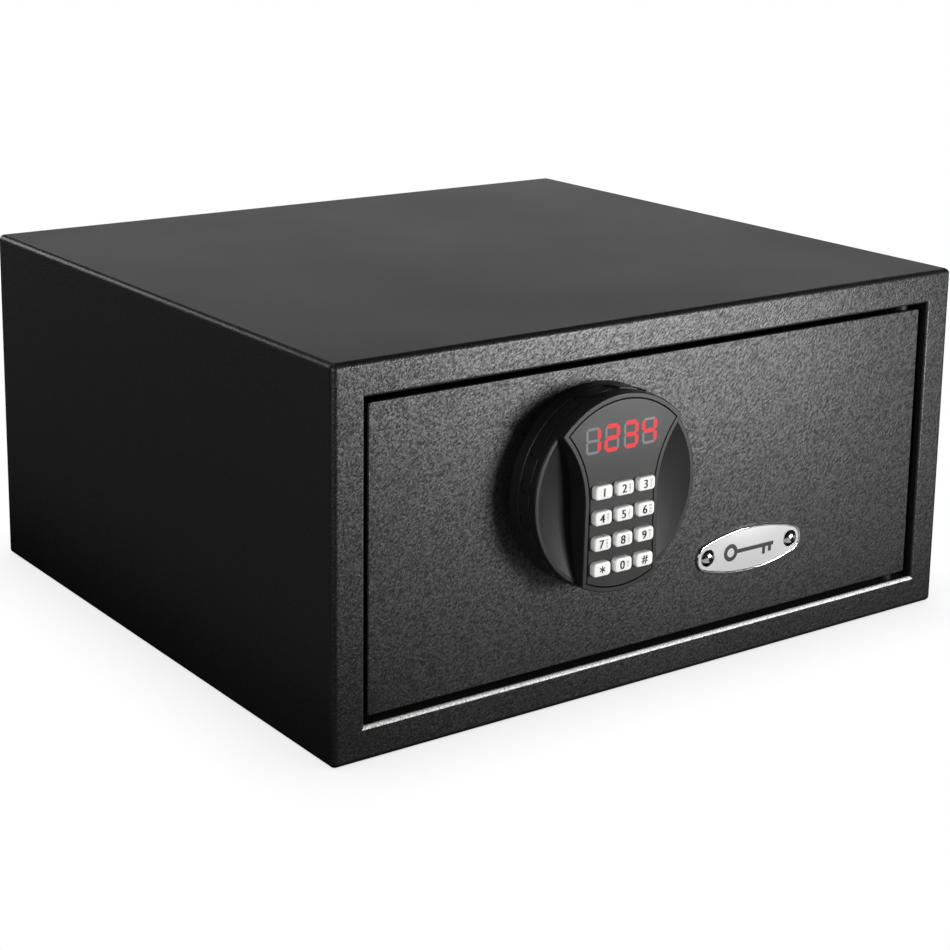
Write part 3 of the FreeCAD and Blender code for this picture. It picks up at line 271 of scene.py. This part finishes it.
def satin_silver(name, colour, roughness):
    """Pale satin lacquer over metal: part of the light is scattered, part mirrored."""
    made = Finish(name, colour, roughness, 0.35)
    cloud = made.noise(60.0, 2.0)
    made.set(made.shader, "Roughness", made.remap(cloud, 0.3, 0.7, roughness - 0.02, roughness + 0.02))
    made.bump(made.noise(2400.0, 2.0), 0.00001, 0.5)
    return made.material


def zinc_plate():
    """Zinc plating with faint crystals of differing shade."""
    made = Finish("zinc_steel_finish", (0.56, 0.58, 0.62), 0.34, 1.0)
    spangle = made.node("TexVoronoi", "Color", {"Vector": made.place, "Scale": 260.0})
    share = made.node("SeparateColor", "Red", {"Color": spangle})
    made.set(made.shader, "Base Color", made.blend(share, (0.50, 0.53, 0.58), (0.66, 0.66, 0.64)))
    made.set(made.shader, "Roughness", made.remap(share, 0.0, 1.0, 0.27, 0.42))
    made.bump(made.noise(900.0, 3.0), 0.00001, 0.5)
    return made.material


def felt():
    """Needle-felt carpet: matted fibres with a speckle of lighter ones."""
    made = Finish("carpet_finish", (0.03, 0.03, 0.034), 0.95, Sheen_Weight=0.35, Sheen_Roughness=0.5)
    fibres = made.noise(1500.0, 4.0, 0.7, place=made.node("Mapping", "Vector", {
        "Vector": made.place, "Rotation": (0.0, 0.0, 0.6), "Scale": (1.0, 0.35, 1.0)}), distortion=1.2)
    speck = made.noise(3800.0, 1.0)
    share = made.remap(made.math("MULTIPLY", fibres, speck), 0.24, 0.42)
    made.set(made.shader, "Base Color", made.blend(share, (0.016, 0.016, 0.018), (0.075, 0.075, 0.082)))
    made.bump(fibres, 0.0006, 0.9)
    return made.material


def circuit_board():
    """Solder mask over copper tracks."""
    made = Finish("circuit_board_finish", (0.01, 0.10, 0.04), 0.32, Coat_Weight=0.4, Coat_Roughness=0.2)
    tracks = made.node("TexBrick", "Fac", {"Vector": made.place, "Scale": 260.0, "Mortar Size": 0.05,
                                           "Brick Width": 0.9, "Row Height": 0.3})
    made.set(made.shader, "Base Color", made.blend(tracks, (0.008, 0.09, 0.035), (0.02, 0.2, 0.08)))
    made.bump(tracks, 0.00003, 0.8)
    return made.material


def winding():
    """Turns of enamelled copper wire round the vertical axis."""
    made = Finish("copper_winding_finish", (0.5, 0.2, 0.08), 0.3, 0.9)
    turns = made.node("TexWave", "Fac", {"Vector": made.place, "Scale": 420.0, "Distortion": 0.3},
                      bands_direction="Z")
    # painted shade: the colour is darker in the grooves between the turns
    made.set(made.shader, "Base Color", made.blend(turns, (0.2, 0.07, 0.03), (0.62, 0.27, 0.11)))
    made.bump(turns, 0.0002, 1.0)
    return made.material


def rubber(name, colour, roughness):
    """Dull rubber with a fine even grain."""
    made = Finish(name, colour, roughness)
    made.bump(made.noise(1800.0, 3.0), 0.00003, 0.8)
    drift = made.noise(200.0)
    made.set(made.shader, "Roughness", made.remap(drift, 0.3, 0.7, roughness - 0.05, roughness + 0.05))
    return made.material


def glow(name, colour, strength):
    """A lit display segment behind the smoked window: slightly uneven."""
    made = Finish(name, tuple(c * 0.1 for c in colour), 0.5, Specular_IOR_Level=0.15)
    made.set(made.shader, "Emission Color", (*colour, 1.0))
    made.set(made.shader, "Emission Strength",
             made.remap(made.noise(900.0, 2.0), 0.3, 0.7, strength * 0.9, strength * 1.1))
    return made.material


FINISH = {
    "cabinet_paint": powder_coat("cabinet_paint_finish", (0.012, 0.012, 0.0125), 0.40, 0.00012, sill=18.0),
    "door_paint": powder_coat("door_paint_finish", (0.013, 0.013, 0.0135), 0.40, 0.00012),
    "carpet": felt(),
    "zinc_steel": zinc_plate(),
    "polished_steel": drawn_metal("polished_steel_finish", (0.66, 0.66, 0.68), 0.2, (3500.0, 60.0, 3500.0)),
    "bronze": drawn_metal("bronze_finish", (0.50, 0.34, 0.16), 0.42, (900.0, 900.0, 900.0), 0.00003),
    "brass": drawn_metal("brass_finish", (0.70, 0.53, 0.22), 0.26, (3000.0, 40.0, 3000.0)),
    "white_plastic": moulded_plastic("white_plastic_finish", (0.74, 0.74, 0.71), 0.38,
                                     Subsurface_Weight=0.1, Subsurface_Scale=0.002,
                                     Subsurface_Radius=(1.0, 1.0, 1.0)),
    "copper_winding": winding(),
    "circuit_board": circuit_board(),
    "black_component": moulded_plastic("black_component_finish", (0.018, 0.018, 0.018), 0.5),
    "cable_jacket": rubber("cable_jacket_finish", (0.018, 0.018, 0.018), 0.5),
    "tray_plastic": moulded_plastic("tray_plastic_finish", (0.024, 0.024, 0.025), 0.46, 1800.0, 0.00005),
    "battery_can": drawn_metal("battery_can_finish", (0.6, 0.6, 0.6), 0.3, (2500.0, 2500.0, 60.0)),
    "red_plastic": moulded_plastic("red_plastic_finish", (0.5, 0.015, 0.015), 0.3, Coat_Weight=0.3),
    "knob_plastic": moulded_plastic("knob_plastic_finish", (0.013, 0.013, 0.0135), 0.40, 1900.0, 0.00005,
                                    Specular_IOR_Level=0.3),
    "panel_plastic": moulded_plastic("panel_plastic_finish", (0.018, 0.018, 0.0185), 0.36, 1900.0, 0.00005,
                                     Specular_IOR_Level=0.3),
    "display_smoke": moulded_plastic("display_smoke_finish", (0.018, 0.018, 0.0185), 0.36, 1900.0, 0.00004,
                                     Specular_IOR_Level=0.32),
    "grey_rubber": rubber("grey_rubber_finish", (0.10, 0.10, 0.10), 0.6),
    "key_white": moulded_plastic("key_white_finish", (0.90, 0.90, 0.88), 0.24, 1500.0, 0.00001,
                                 Subsurface_Weight=0.6, Subsurface_Scale=0.003,
                                 Subsurface_Radius=(1.0, 1.0, 1.0), Coat_Weight=0.2),
    "badge_metal": satin_silver("badge_metal_finish", (0.60, 0.60, 0.60), 0.3),
    "chrome": drawn_metal("chrome_finish", (0.86, 0.86, 0.87), 0.12, (600.0, 600.0, 600.0), 0.000002),
}
INK = moulded_plastic("key_ink_finish", (0.012, 0.012, 0.012), 0.5)
LIT = glow("segment_lit_finish", (0.74, 0.045, 0.05), 1.0)
GHOST = moulded_plastic("segment_off_finish", (0.13, 0.13, 0.132), 0.5)
# a near-black strip laid in the groove round the face panel: painted shade
SEAM = moulded_plastic("panel_seam_shade_finish", (0.002, 0.002, 0.002), 0.8, Specular_IOR_Level=0.05)
RIM = drawn_metal("badge_rim_finish", (0.9, 0.9, 0.9), 0.1, (600.0, 600.0, 600.0), 0.000003)
WRAP = moulded_plastic("battery_wrap_finish", (0.02, 0.02, 0.024), 0.25, 900.0, 0.00001, Coat_Weight=0.6)
BAND = drawn_metal("battery_band_finish", (0.66, 0.36, 0.16), 0.3, (2500.0, 2500.0, 60.0))

# painted shade: the hinge steel is made near-black so that no bare steel shines in the shaded gap beside the
# door
HINGE_NODES = ("hinge_pins", "hinge_spacers", "hinge_bushes")
GAP_SHADE_STEEL = drawn_metal("gap_shade_steel_finish", (0.03, 0.03, 0.032), 0.55, (3500.0, 60.0, 3500.0))

for name, node in NODES.items():
    for material_slot in node.material_slots:
        material_slot.material = GAP_SHADE_STEEL if name in HINGE_NODES else FINISH[SLOT_OF[name]]


# ---------------------------------------------------------------- camera
CAMERA_PLACE = (-0.7024, -0.9816, 0.4381)
CAMERA_TURN = (-35.91, 12.59, 0.80)
LENS_MM = 79.85
LENS_SHIFT = -0.18


def place_camera():
    """The photograph's viewpoint; the turn is azimuth, elevation and roll in degrees."""
    azimuth, elevation, roll = (math.radians(angle) for angle in CAMERA_TURN)
    back = Vector((math.sin(azimuth) * math.cos(elevation), -math.cos(azimuth) * math.cos(elevation),
                   math.sin(elevation)))
    level = Vector((math.cos(azimuth), math.sin(azimuth), 0.0))
    up = back.cross(level)
    right = math.cos(roll) * level + math.sin(roll) * up
    data = bpy.data.cameras.new("camera")
    data.sensor_width = 36.0
    data.lens = LENS_MM
    data.shift_y = LENS_SHIFT
    data.clip_end = 50.0
    camera = bpy.data.objects.new("camera", data)
    turn = Matrix((right, back.cross(right), back)).transposed()
    camera.matrix_world = Matrix.Translation(CAMERA_PLACE) @ turn.to_4x4()
    bpy.context.scene.collection.objects.link(camera)
    bpy.context.scene.camera = camera


# ---------------------------------------------------------------- studio
def softbox(name, target, azimuth, elevation, distance, width, height, radiance, spread=180.0):
    """A rectangular light that faces a point; azimuth 0 is in front of the safe, 90 on its right."""
    data = bpy.data.lights.new(name, "AREA")
    data.shape = "RECTANGLE"
    data.size = width
    data.size_y = height
    data.energy = radiance * width * height * math.pi
    data.spread = math.radians(spread)
    light = bpy.data.objects.new(name, data)
    a = math.radians(azimuth)
    e = math.radians(elevation)
    away = Vector((math.sin(a) * math.cos(e), -math.cos(a) * math.cos(e), math.sin(e)))
    light.location = Vector(target) + away * distance
    light.rotation_euler = away.to_track_quat("Z", "Y").to_euler()
    light.visible_camera = False
    bpy.context.scene.collection.objects.link(light)


def stage_plane(name, x0, x1, y0, y1, z, material):
    mesh = mesh_from(name, [(x0, y0, z), (x1, y0, z), (x1, y1, z), (x0, y1, z)], [(0, 1, 2, 3)])
    plane = bpy.data.objects.new(name, mesh)
    mesh.materials.append(material)
    bpy.context.scene.collection.objects.link(plane)
    return plane


def studio():
    scene = bpy.context.scene
    scene.view_settings.view_transform = "Standard"
    world = bpy.data.worlds.new("studio")
    scene.world = world
    world.use_nodes = True
    sky = world.node_tree.nodes["Background"]
    sky.inputs["Color"].default_value = (1.0, 1.0, 1.0, 1.0)
    sky.inputs["Strength"].default_value = 1.0
    world.cycles_visibility.diffuse = False
    world.cycles_visibility.glossy = False
    world.cycles_visibility.transmission = False

    # the floor glows evenly, like a lit sweep; close to the object ambient occlusion dims it, a painted
    # contact shadow
    pale = Finish("floor_finish", (0.0, 0.0, 0.0), 1.0, Specular_IOR_Level=0.0)
    contact_shadow = pale.node("AmbientOcclusion", "AO", {"Distance": 0.05}, samples=8)
    pale.set(pale.shader, "Emission Color", (1.0, 1.0, 1.0, 1.0))
    pale.set(pale.shader, "Emission Strength", pale.remap(contact_shadow, 0.0, 1.0, 0.72, 1.0))
    floor = stage_plane("floor", -30, 30, -30, 30, 0.0, pale.material)
    floor.visible_diffuse = False
    floor.visible_glossy = False

    def card(name, x0, x1, y0, y1, radiance):
        """A glowing card just under the floor, seen only in reflections."""
        paper = Finish(name + "_finish", (0.8, 0.8, 0.8), 0.9)
        paper.set(paper.shader, "Emission Color", (1.0, 1.0, 1.0, 1.0))
        paper.set(paper.shader, "Emission Strength", radiance)
        plane = stage_plane(name, x0, x1, y0, y1, -0.002, paper.material)
        plane.visible_camera = False
        plane.visible_shadow = False

    card("front_card", -0.12, 1.6, -1.8, -0.24, 0.35)
    card("left_card", -1.8, -0.26, -0.3, 2.2, 0.05)

    front = (0.0, -0.19, 0.12)
    softbox("key", front, 31.8, 1.4, 0.62, 0.26, 0.16, 34.0)
    softbox("top_sheen", (0.0, 0.0, 0.2), 144.0, 14.0, 2.4, 2.0, 0.8, 0.74)
    softbox("left_fill", (-0.2, 0.0, 0.1), -68.0, 25.0, 2.2, 0.8, 0.8, 2.6)
    softbox("knob_fill", (-0.05, -0.2, 0.117), -62.0, 12.0, 0.7, 0.25, 0.25, 6.0)
    softbox("overhead", (0.0, 0.0, 0.2), -140.0, 72.0, 2.2, 1.2, 1.2, 1.2)
    softbox("back_fill", (0.0, 0.2, 0.1), 200.0, 18.0, 2.2, 0.8, 0.8, 4.2)
    softbox("right_fill", (0.2, 0.0, 0.1), 112.0, 20.0, 2.4, 0.6, 0.6, 3.0)


# ---------------------------------------------------------------- lead inside the lock case
def board_lead():
    """Lead from the spindle's rear end to the control board's socket."""
    route = [(-50, -169.6, 117), (-50, -156.0, 117), (-34, -149.5, 104), (-4, -149.5, 86),
             (28, -149.7, 77), (58, -149.5, 79), (82, -157.1, 81), (102, -157.1, 81)]
    curve = bpy.data.curves.new("board_lead", "CURVE")
    curve.dimensions = "3D"
    curve.bevel_depth = 2.0 * MM
    curve.use_fill_caps = True
    spline = curve.splines.new("NURBS")
    spline.points.add(len(route) - 1)
    for point, place in zip(spline.points, route):
        point.co = (*(c * MM for c in place), 1.0)
    spline.order_u = 3
    spline.use_endpoint_u = True
    lead = bpy.data.objects.new("board_lead", curve)
    bpy.context.scene.collection.objects.link(lead)
    curve.materials.append(FINISH["cable_jacket"])
    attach(lead, "door")
    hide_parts("board_cable")


# ---------------------------------------------------------------- display
# sizes in mm
SEGMENTS_OF = {"1": "bc", "2": "abged", "3": "abgcd", "4": "fgbc"}
DIGIT_W = 9.9
DIGIT_H = 14.5
DIGIT_PITCH = 12.0
SEGMENT_W = 2.3
UNLIT_W = 1.35
DISPLAY_SHIFT = (-1.5, 0.45)
SHOWN = "1234"


def segment_bar(letter, half_w, half_h, width):
    """Outline of one segment of a seven-segment digit, centred on the digit."""
    x = half_w - width / 2
    z = half_h - width / 2
    ends = {"a": ((-x, z), (x, z)), "b": ((x, z), (x, 0)), "c": ((x, 0), (x, -z)), "d": ((x, -z), (-x, -z)),
            "e": ((-x, -z), (-x, 0)), "f": ((-x, 0), (-x, z)), "g": ((-x, 0), (x, 0))}[letter]
    start, end = (Vector(e) for e in ends)
    along = (end - start).normalized()
    side = Vector((-along.y, along.x)) * width / 2
    gap = along * 0.05
    tip = along * width / 2
    start, end = start + gap, end - gap
    corners = [start, start + tip + side, end - tip + side, end, end - tip - side, start + tip - side]
    return [(c.x, c.y) for c in corners]


def display():
    low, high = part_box("display_lens")
    front = low.y / MM
    middle_x = (low.x + high.x) / 2 / MM + DISPLAY_SHIFT[0]
    middle_z = (low.z + high.z) / 2 / MM + DISPLAY_SHIFT[1]
    lit_points, lit_faces, off_points, off_faces = [], [], [], []
    for i, digit in enumerate(SHOWN):
        x0 = middle_x + (i - (len(SHOWN) - 1) / 2) * DIGIT_PITCH
        for letter in "abcdefg":
            lit = letter in SEGMENTS_OF[digit]
            inset = 0.0 if lit else (SEGMENT_W - UNLIT_W) / 2
            bar = segment_bar(letter, DIGIT_W / 2 - inset, DIGIT_H / 2 - inset, SEGMENT_W if lit else UNLIT_W)
            outline = [((x0 + x) * MM, (middle_z + z) * MM) for x, z in bar]
            if lit:
                prism(outline, (front - 0.05) * MM, (front + 0.3) * MM, lit_points, lit_faces)
            else:
                prism(outline, (front - 0.03) * MM, (front + 0.3) * MM, off_points, off_faces)
    lit_mesh = fix_normals(mesh_from("display_digits", lit_points, lit_faces))
    add_object("display_digits", lit_mesh, LIT, "knob")
    unlit = fix_normals(mesh_from("display_segments_off", off_points, off_faces))
    add_object("display_segments_off", unlit, GHOST, "knob")


# ---------------------------------------------------------------- painted shade in the seam round the panel
SEAM_REACH = (-0.3 * MM, 0.55 * MM)


def panel_seam():
    """A near-black strip over the groove between the face panel and the grip bar: painted shade in the gap.
    """
    panel = NODES["face_panel"]
    face_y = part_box("face_panel")[0].y
    work = bmesh.new()
    work.from_mesh(panel.data)
    work.transform(panel.matrix_world)
    bmesh.ops.remove_doubles(work, verts=work.verts, dist=0.001 * MM)
    front = {f for f in work.faces if all(abs(v.co.y - face_y) < 0.01 * MM for v in f.verts)}
    after = {}
    for edge in work.edges:
        if len([f for f in edge.link_faces if f in front]) == 1:
            for vert in edge.verts:
                after.setdefault(vert, []).append(edge.other_vert(vert))
    start = max(after, key=lambda v: v.co.z)
    ring = [start, after[start][0]]
    while len(ring) < len(after):
        options = [v for v in after[ring[-1]] if v is not ring[-2]]
        if options[0] is start:
            break
        ring.append(options[0])
    outline = [Vector((v.co.x, v.co.z)) for v in ring]
    work.free()
    middle = sum(outline, Vector((0.0, 0.0))) / len(outline)
    rows = []
    for reach in SEAM_REACH:
        row = []
        for i, here in enumerate(outline):
            run = outline[(i + 1) % len(outline)] - outline[i - 1]
            out = Vector((run.y, -run.x)).normalized()
            if out.dot(here - middle) < 0:
                out = -out
            row.append((here.x + out.x * reach, face_y - 0.03 * MM, here.y + out.y * reach))
        rows.append(row)
    points, faces = join_rings(rows)
    seam_shade_strip = fix_normals(mesh_from("panel_seam", points, faces))
    add_object("panel_seam", seam_shade_strip, SEAM, "knob")


# ---------------------------------------------------------------- key legends
LEGENDS = {"1": ("1", ""), "2": ("2", "ABC"), "3": ("3", "DEF"), "4": ("4", "GHI"), "5": ("5", "JKL"),
           "6": ("6", "MNO"), "7": ("7", "PRS"), "8": ("8", "TUV"), "9": ("9", "WXY"),
           "star": ("", ""), "0": ("0", "QZ"), "hash": ("#", "")}


DIGIT_SIZE = 6.3
MARK_SIZE = 1.75
# each figure is drawn at these shifts, in mm, which thickens its strokes
STROKE_SHIFTS = (-0.17, 0.0, 0.17)


def lettering(text, size, x, z):
    """Points and faces of printed characters, centred on (x, z), in millimetres; y is left at 0."""
    curve = bpy.data.curves.new("lettering", "FONT")
    curve.body = text
    curve.size = size
    curve.align_x = "CENTER"
    curve.resolution_u = 6
    holder = bpy.data.objects.new("lettering", curve)
    flat = bpy.data.meshes.new_from_object(holder)
    xs = [v.co.x for v in flat.vertices]
    ys = [v.co.y for v in flat.vertices]
    mid_x = (min(xs) + max(xs)) / 2
    mid_y = (min(ys) + max(ys)) / 2
    points = [(x + v.co.x - mid_x, 0.0, z + v.co.y - mid_y) for v in flat.vertices]
    faces = [tuple(f.vertices) for f in flat.polygons]
    bpy.data.objects.remove(holder)
    return points, faces


def six_arm_star(reach, x, z):
    """Points and faces of a six-armed star of plain strokes."""
    points, faces = [], []
    for turn in (math.radians(90.0), math.radians(30.0), math.radians(-30.0)):
        along = Vector((math.cos(turn), math.sin(turn))) * reach
        across = Vector((-math.sin(turn), math.cos(turn))) * 0.32
        start = len(points)
        corners = (-along - across, along - across, along + across, across - along)
        points += [(x + c.x, 0.0, z + c.y) for c in corners]
        faces.append((start, start + 1, start + 2, start + 3))
    return points, faces


def legends():
    """The printed figure and the small column of marks on each key."""
    for key, (digit, marks) in LEGENDS.items():
        low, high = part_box("key_" + key)
        x0 = (low.x + high.x) / 2 / MM
        z0 = (low.z + high.z) / 2 / MM
        if digit:
            middle = x0 - (0.9 if marks else 0.0)
            parts = [lettering(digit, DIGIT_SIZE, middle + shift, z0) for shift in STROKE_SHIFTS]
        else:
            parts = [six_arm_star(1.9, x0, z0)]
        for row, mark in enumerate(marks):
            drop = 1.6 * ((len(marks) - 1) / 2 - row)
            parts.append(lettering(mark, MARK_SIZE, x0 + 2.6, z0 + drop))
        points, faces = [], []
        for some_points, some_faces in parts:
            start = len(points)
            points += [(x * MM, low.y - 0.03 * MM, z * MM) for x, _, z in some_points]
            faces += [tuple(start + i for i in face) for face in some_faces]
        mesh = mesh_from("legend_" + key, points, faces)
        add_object("legend_" + key, mesh, INK, "key_" + key)


# ---------------------------------------------------------------- badge
# in mm: the centre of each rounded end from the badge's middle, that end's radius, half the height
BADGE_REACH = 30.2
BADGE_END_R = 7.8
BADGE_HALF_H = 12.6
END_STEPS = 24
SIDE_STEPS = 60
# (inset, height) across the rim, and the insets of the field's rings
RIM_PROFILE = ((0.0, 0.0), (0.0, 1.1), (0.12, 1.4), (0.35, 1.58),
               (0.65, 1.6), (0.95, 1.5), (1.2, 1.25), (1.3, 0.7))
FIELD_INSETS = (1.3, 1.45, 1.8, 2.4, 3.2, 4.2, 5.4, 6.6)
FIELD_SHARES = (0.85, 0.6, 0.3, 0.02)


def lens_ring(inset):
    """Points round the badge's outline drawn in by inset, as (x, z) from its centre."""
    end_r = BADGE_END_R - inset
    half_h = BADGE_HALF_H - inset
    side_r = (BADGE_REACH ** 2 + half_h ** 2 - end_r ** 2) / (2 * (half_h - end_r))
    drop = side_r - half_h
    lean = math.atan2(BADGE_REACH, drop)
    ring = []
    for flip in (1, -1):
        for k in range(END_STEPS):
            turn = -(math.pi / 2 - lean) + (math.pi - 2 * lean) * k / END_STEPS
            ring.append((flip * (BADGE_REACH + end_r * math.cos(turn)), flip * end_r * math.sin(turn)))
        for k in range(SIDE_STEPS):
            turn = math.pi / 2 - lean + 2 * lean * k / SIDE_STEPS
            ring.append((flip * side_r * math.cos(turn), flip * (side_r * math.sin(turn) - drop)))
    return ring


def badge_crown(x, z):
    """Height of the badge's domed field in front of the door."""
    half_h = BADGE_HALF_H - 1.4
    along = max(0.0, 1.0 - (abs(x) / 26.0) ** 4)
    across = max(0.0, 1.0 - (z / half_h) ** 2)
    return 1.0 + 0.45 * along * across


def badge():
    low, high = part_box("badge_plate")
    door_y = high.y / MM
    x0 = (low.x + high.x) / 2 / MM
    z0 = (low.z + high.z) / 2 / MM

    def place(x, height, z):
        return ((x0 + x) * MM, (door_y - height) * MM, (z0 + z) * MM)

    rings = [[place(x, height, z) for x, z in lens_ring(inset)] for inset, height in RIM_PROFILE]
    points, faces = join_rings(rings)
    rim = add_object("badge_rim", fix_normals(mesh_from("badge_rim", points, faces)), RIM, "door",
                     smooth=50)
    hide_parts("badge_plate")

    flat_rings = [lens_ring(inset) for inset in FIELD_INSETS]
    flat_rings += [[(x * share, z * share) for x, z in flat_rings[-1]] for share in FIELD_SHARES]
    rings = []
    for k, ring in enumerate(flat_rings):
        edge = -0.3 if k == 0 else 0.0
        rings.append([place(x, badge_crown(x, z) + edge, z) for x, z in ring])
    points, faces = join_rings(rings, cap_end=True)
    field = add_object("badge_field", fix_normals(mesh_from("badge_field", points, faces)),
                       FINISH["badge_metal"], "door", smooth=40)
    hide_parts("badge_plate")

    # a plain key pictogram, printed on the field
    points, faces = [], []

    def strip(inner, outer):
        start = len(points)
        for (xa, za), (xb, zb) in zip(inner, outer):
            points.append(place(xa, badge_crown(xa, za) + 0.04, za))
            points.append(place(xb, badge_crown(xb, zb) + 0.04, zb))
        faces.extend((start + 2 * k, start + 2 * k + 1, start + 2 * k + 3, start + 2 * k + 2)
                     for k in range(len(inner) - 1))

    def bar(x_low, x_high, z_low, z_high, steps=24):
        xs = [x_low + (x_high - x_low) * k / steps for k in range(steps + 1)]
        strip([(x, z_low) for x in xs], [(x, z_high) for x in xs])

    turns = [2 * math.pi * k / 64 for k in range(65)]
    bow_x = -14.0
    strip([(bow_x + 2.5 * math.cos(t), 2.5 * math.sin(t)) for t in turns],
          [(bow_x + 4.9 * math.cos(t), 4.9 * math.sin(t)) for t in turns])
    bar(-9.4, 17.5, -1.15, 1.15)
    bar(9.2, 11.5, -5.2, -1.15, 4)
    bar(13.6, 15.9, -4.3, -1.15, 4)
    add_object("badge_pictogram", fix_normals(mesh_from("badge_pictogram", points, faces)), INK, "door")


# ---------------------------------------------------------------- floor mat
def floor_mat():
    """Needle-felt mat with a slightly lifted, uneven pile and holes over the anchors."""
    low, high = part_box("floor_mat")
    step = 3.0 * MM
    hole_r = 7.0 * MM
    # the base's four anchor holes, on 280 x 260 mm
    anchors = [(sx * 140.0 * MM, sy * 130.0 * MM) for sx in (-1, 1) for sy in (-1, 1)]
    columns = round((high.x - low.x) / step)
    rows = round((high.y - low.y) / step)
    points = []
    for j in range(rows + 1):
        for i in range(columns + 1):
            x = low.x + (high.x - low.x) * i / columns
            y = low.y + (high.y - low.y) * j / rows
            for ax, ay in anchors:
                away = Vector((x - ax, y - ay))
                if 1e-6 < away.length < hole_r + step * 0.6:
                    away = away.normalized() * hole_r
                    x, y = ax + away.x, ay + away.y
            points.append((x, y))
    faces = []
    for j in range(rows):
        for i in range(columns):
            corners = [j * (columns + 1) + i, j * (columns + 1) + i + 1,
                       (j + 1) * (columns + 1) + i + 1, (j + 1) * (columns + 1) + i]
            centre = Vector((sum(points[c][0] for c in corners) / 4, sum(points[c][1] for c in corners) / 4))
            if all((centre - Vector(a)).length > hole_r for a in anchors):
                faces.append(corners)
    work = bmesh.new()
    thickness = high.z - low.z
    for x, y in points:
        tufts = noise.noise(Vector((x, y, 0.0)) * 160.0) * 0.12
        pile = tufts + noise.noise(Vector((x, y, 0.3)) * 22.0) * 0.10
        work.verts.new((x, y, low.z + thickness * (0.88 + pile)))
    work.verts.ensure_lookup_table()
    for face in faces:
        work.faces.new([work.verts[c] for c in face])
    bmesh.ops.delete(work, geom=[v for v in work.verts if not v.link_faces], context="VERTS")
    rim = [e for e in work.edges if e.is_boundary]
    lowered = bmesh.ops.extrude_edge_only(work, edges=rim)["geom"]
    for vert in (g for g in lowered if isinstance(g, bmesh.types.BMVert)):
        vert.co.z = low.z
    mesh = bpy.data.meshes.new("carpet_mat")
    work.to_mesh(mesh)
    work.free()
    mat = add_object("carpet_mat", fix_normals(mesh), FINISH["carpet"], "cabinet", smooth=50)
    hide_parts("floor_mat")


# ---------------------------------------------------------------- batteries
CELLS = 4
CELL_SIDES = 40
WRAP_SHARE = 0.69
BAND_END = 48.4 * MM
TRAY_WALL = 3.0 * MM
SPRING_POINTS = 90
SPRING_POINTS_A_TURN = 22


def battery_dress():
    """A wrap, a copper-coloured band and a contact spring for each of the cells."""
    low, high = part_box("batteries")
    radius = (high.y - low.y) / 2
    pitch = (high.x - low.x - 2 * radius) / (CELLS - 1)
    y = (low.y + high.y) / 2
    tray_low, tray_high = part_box("battery_tray")
    wrap_rings, band_rings = [], []
    for i in range(CELLS):
        x = low.x + radius + pitch * i
        up = 1 if i % 2 == 0 else -1
        base = low.z if up == 1 else high.z
        length = high.z - low.z

        def ring(along, r):
            turns = [2 * math.pi * k / CELL_SIDES for k in range(CELL_SIDES)]
            return [(x + r * math.cos(t), y + r * math.sin(t), base + up * along) for t in turns]

        seam = WRAP_SHARE * length
        skin = radius + 0.08 * MM
        for store, start, end in ((wrap_rings, 0.4 * MM, seam), (band_rings, seam, BAND_END)):
            store.append([ring(start, radius - 0.6 * MM), ring(start, skin - 0.3 * MM),
                          ring(start + 0.3 * MM, skin), ring(end - 0.3 * MM, skin),
                          ring(end, skin - 0.3 * MM), ring(end, radius - 0.6 * MM)])
        contact_z = (tray_low.z if up == 1 else tray_high.z) + up * (TRAY_WALL + 0.2 * MM)
        last = SPRING_POINTS - 1
        coil = []
        for k in range(SPRING_POINTS):
            turn = 2 * math.pi * k / SPRING_POINTS_A_TURN
            r = 3.6 * MM - 1.5 * MM * k / last
            coil.append((x + r * math.cos(turn), y + r * math.sin(turn),
                         contact_z + (base - contact_z) * k / last))
        wire(f"battery_spring_{i + 1}", coil, 0.35 * MM, FINISH["polished_steel"], "door")
    for name, store, material in (("battery_wraps", wrap_rings, WRAP), ("battery_bands", band_rings, BAND)):
        points, faces = [], []
        for rings in store:
            some_points, some_faces = join_rings(rings)
            start = len(points)
            points += some_points
            faces += [tuple(start + c for c in face) for face in some_faces]
        mesh = fix_normals(mesh_from(name, points, faces))
        add_object(name, mesh, material, "door", smooth=60)


place_camera()
board_lead()
studio()
display()
panel_seam()
legends()
badge()
floor_mat()
battery_dress()
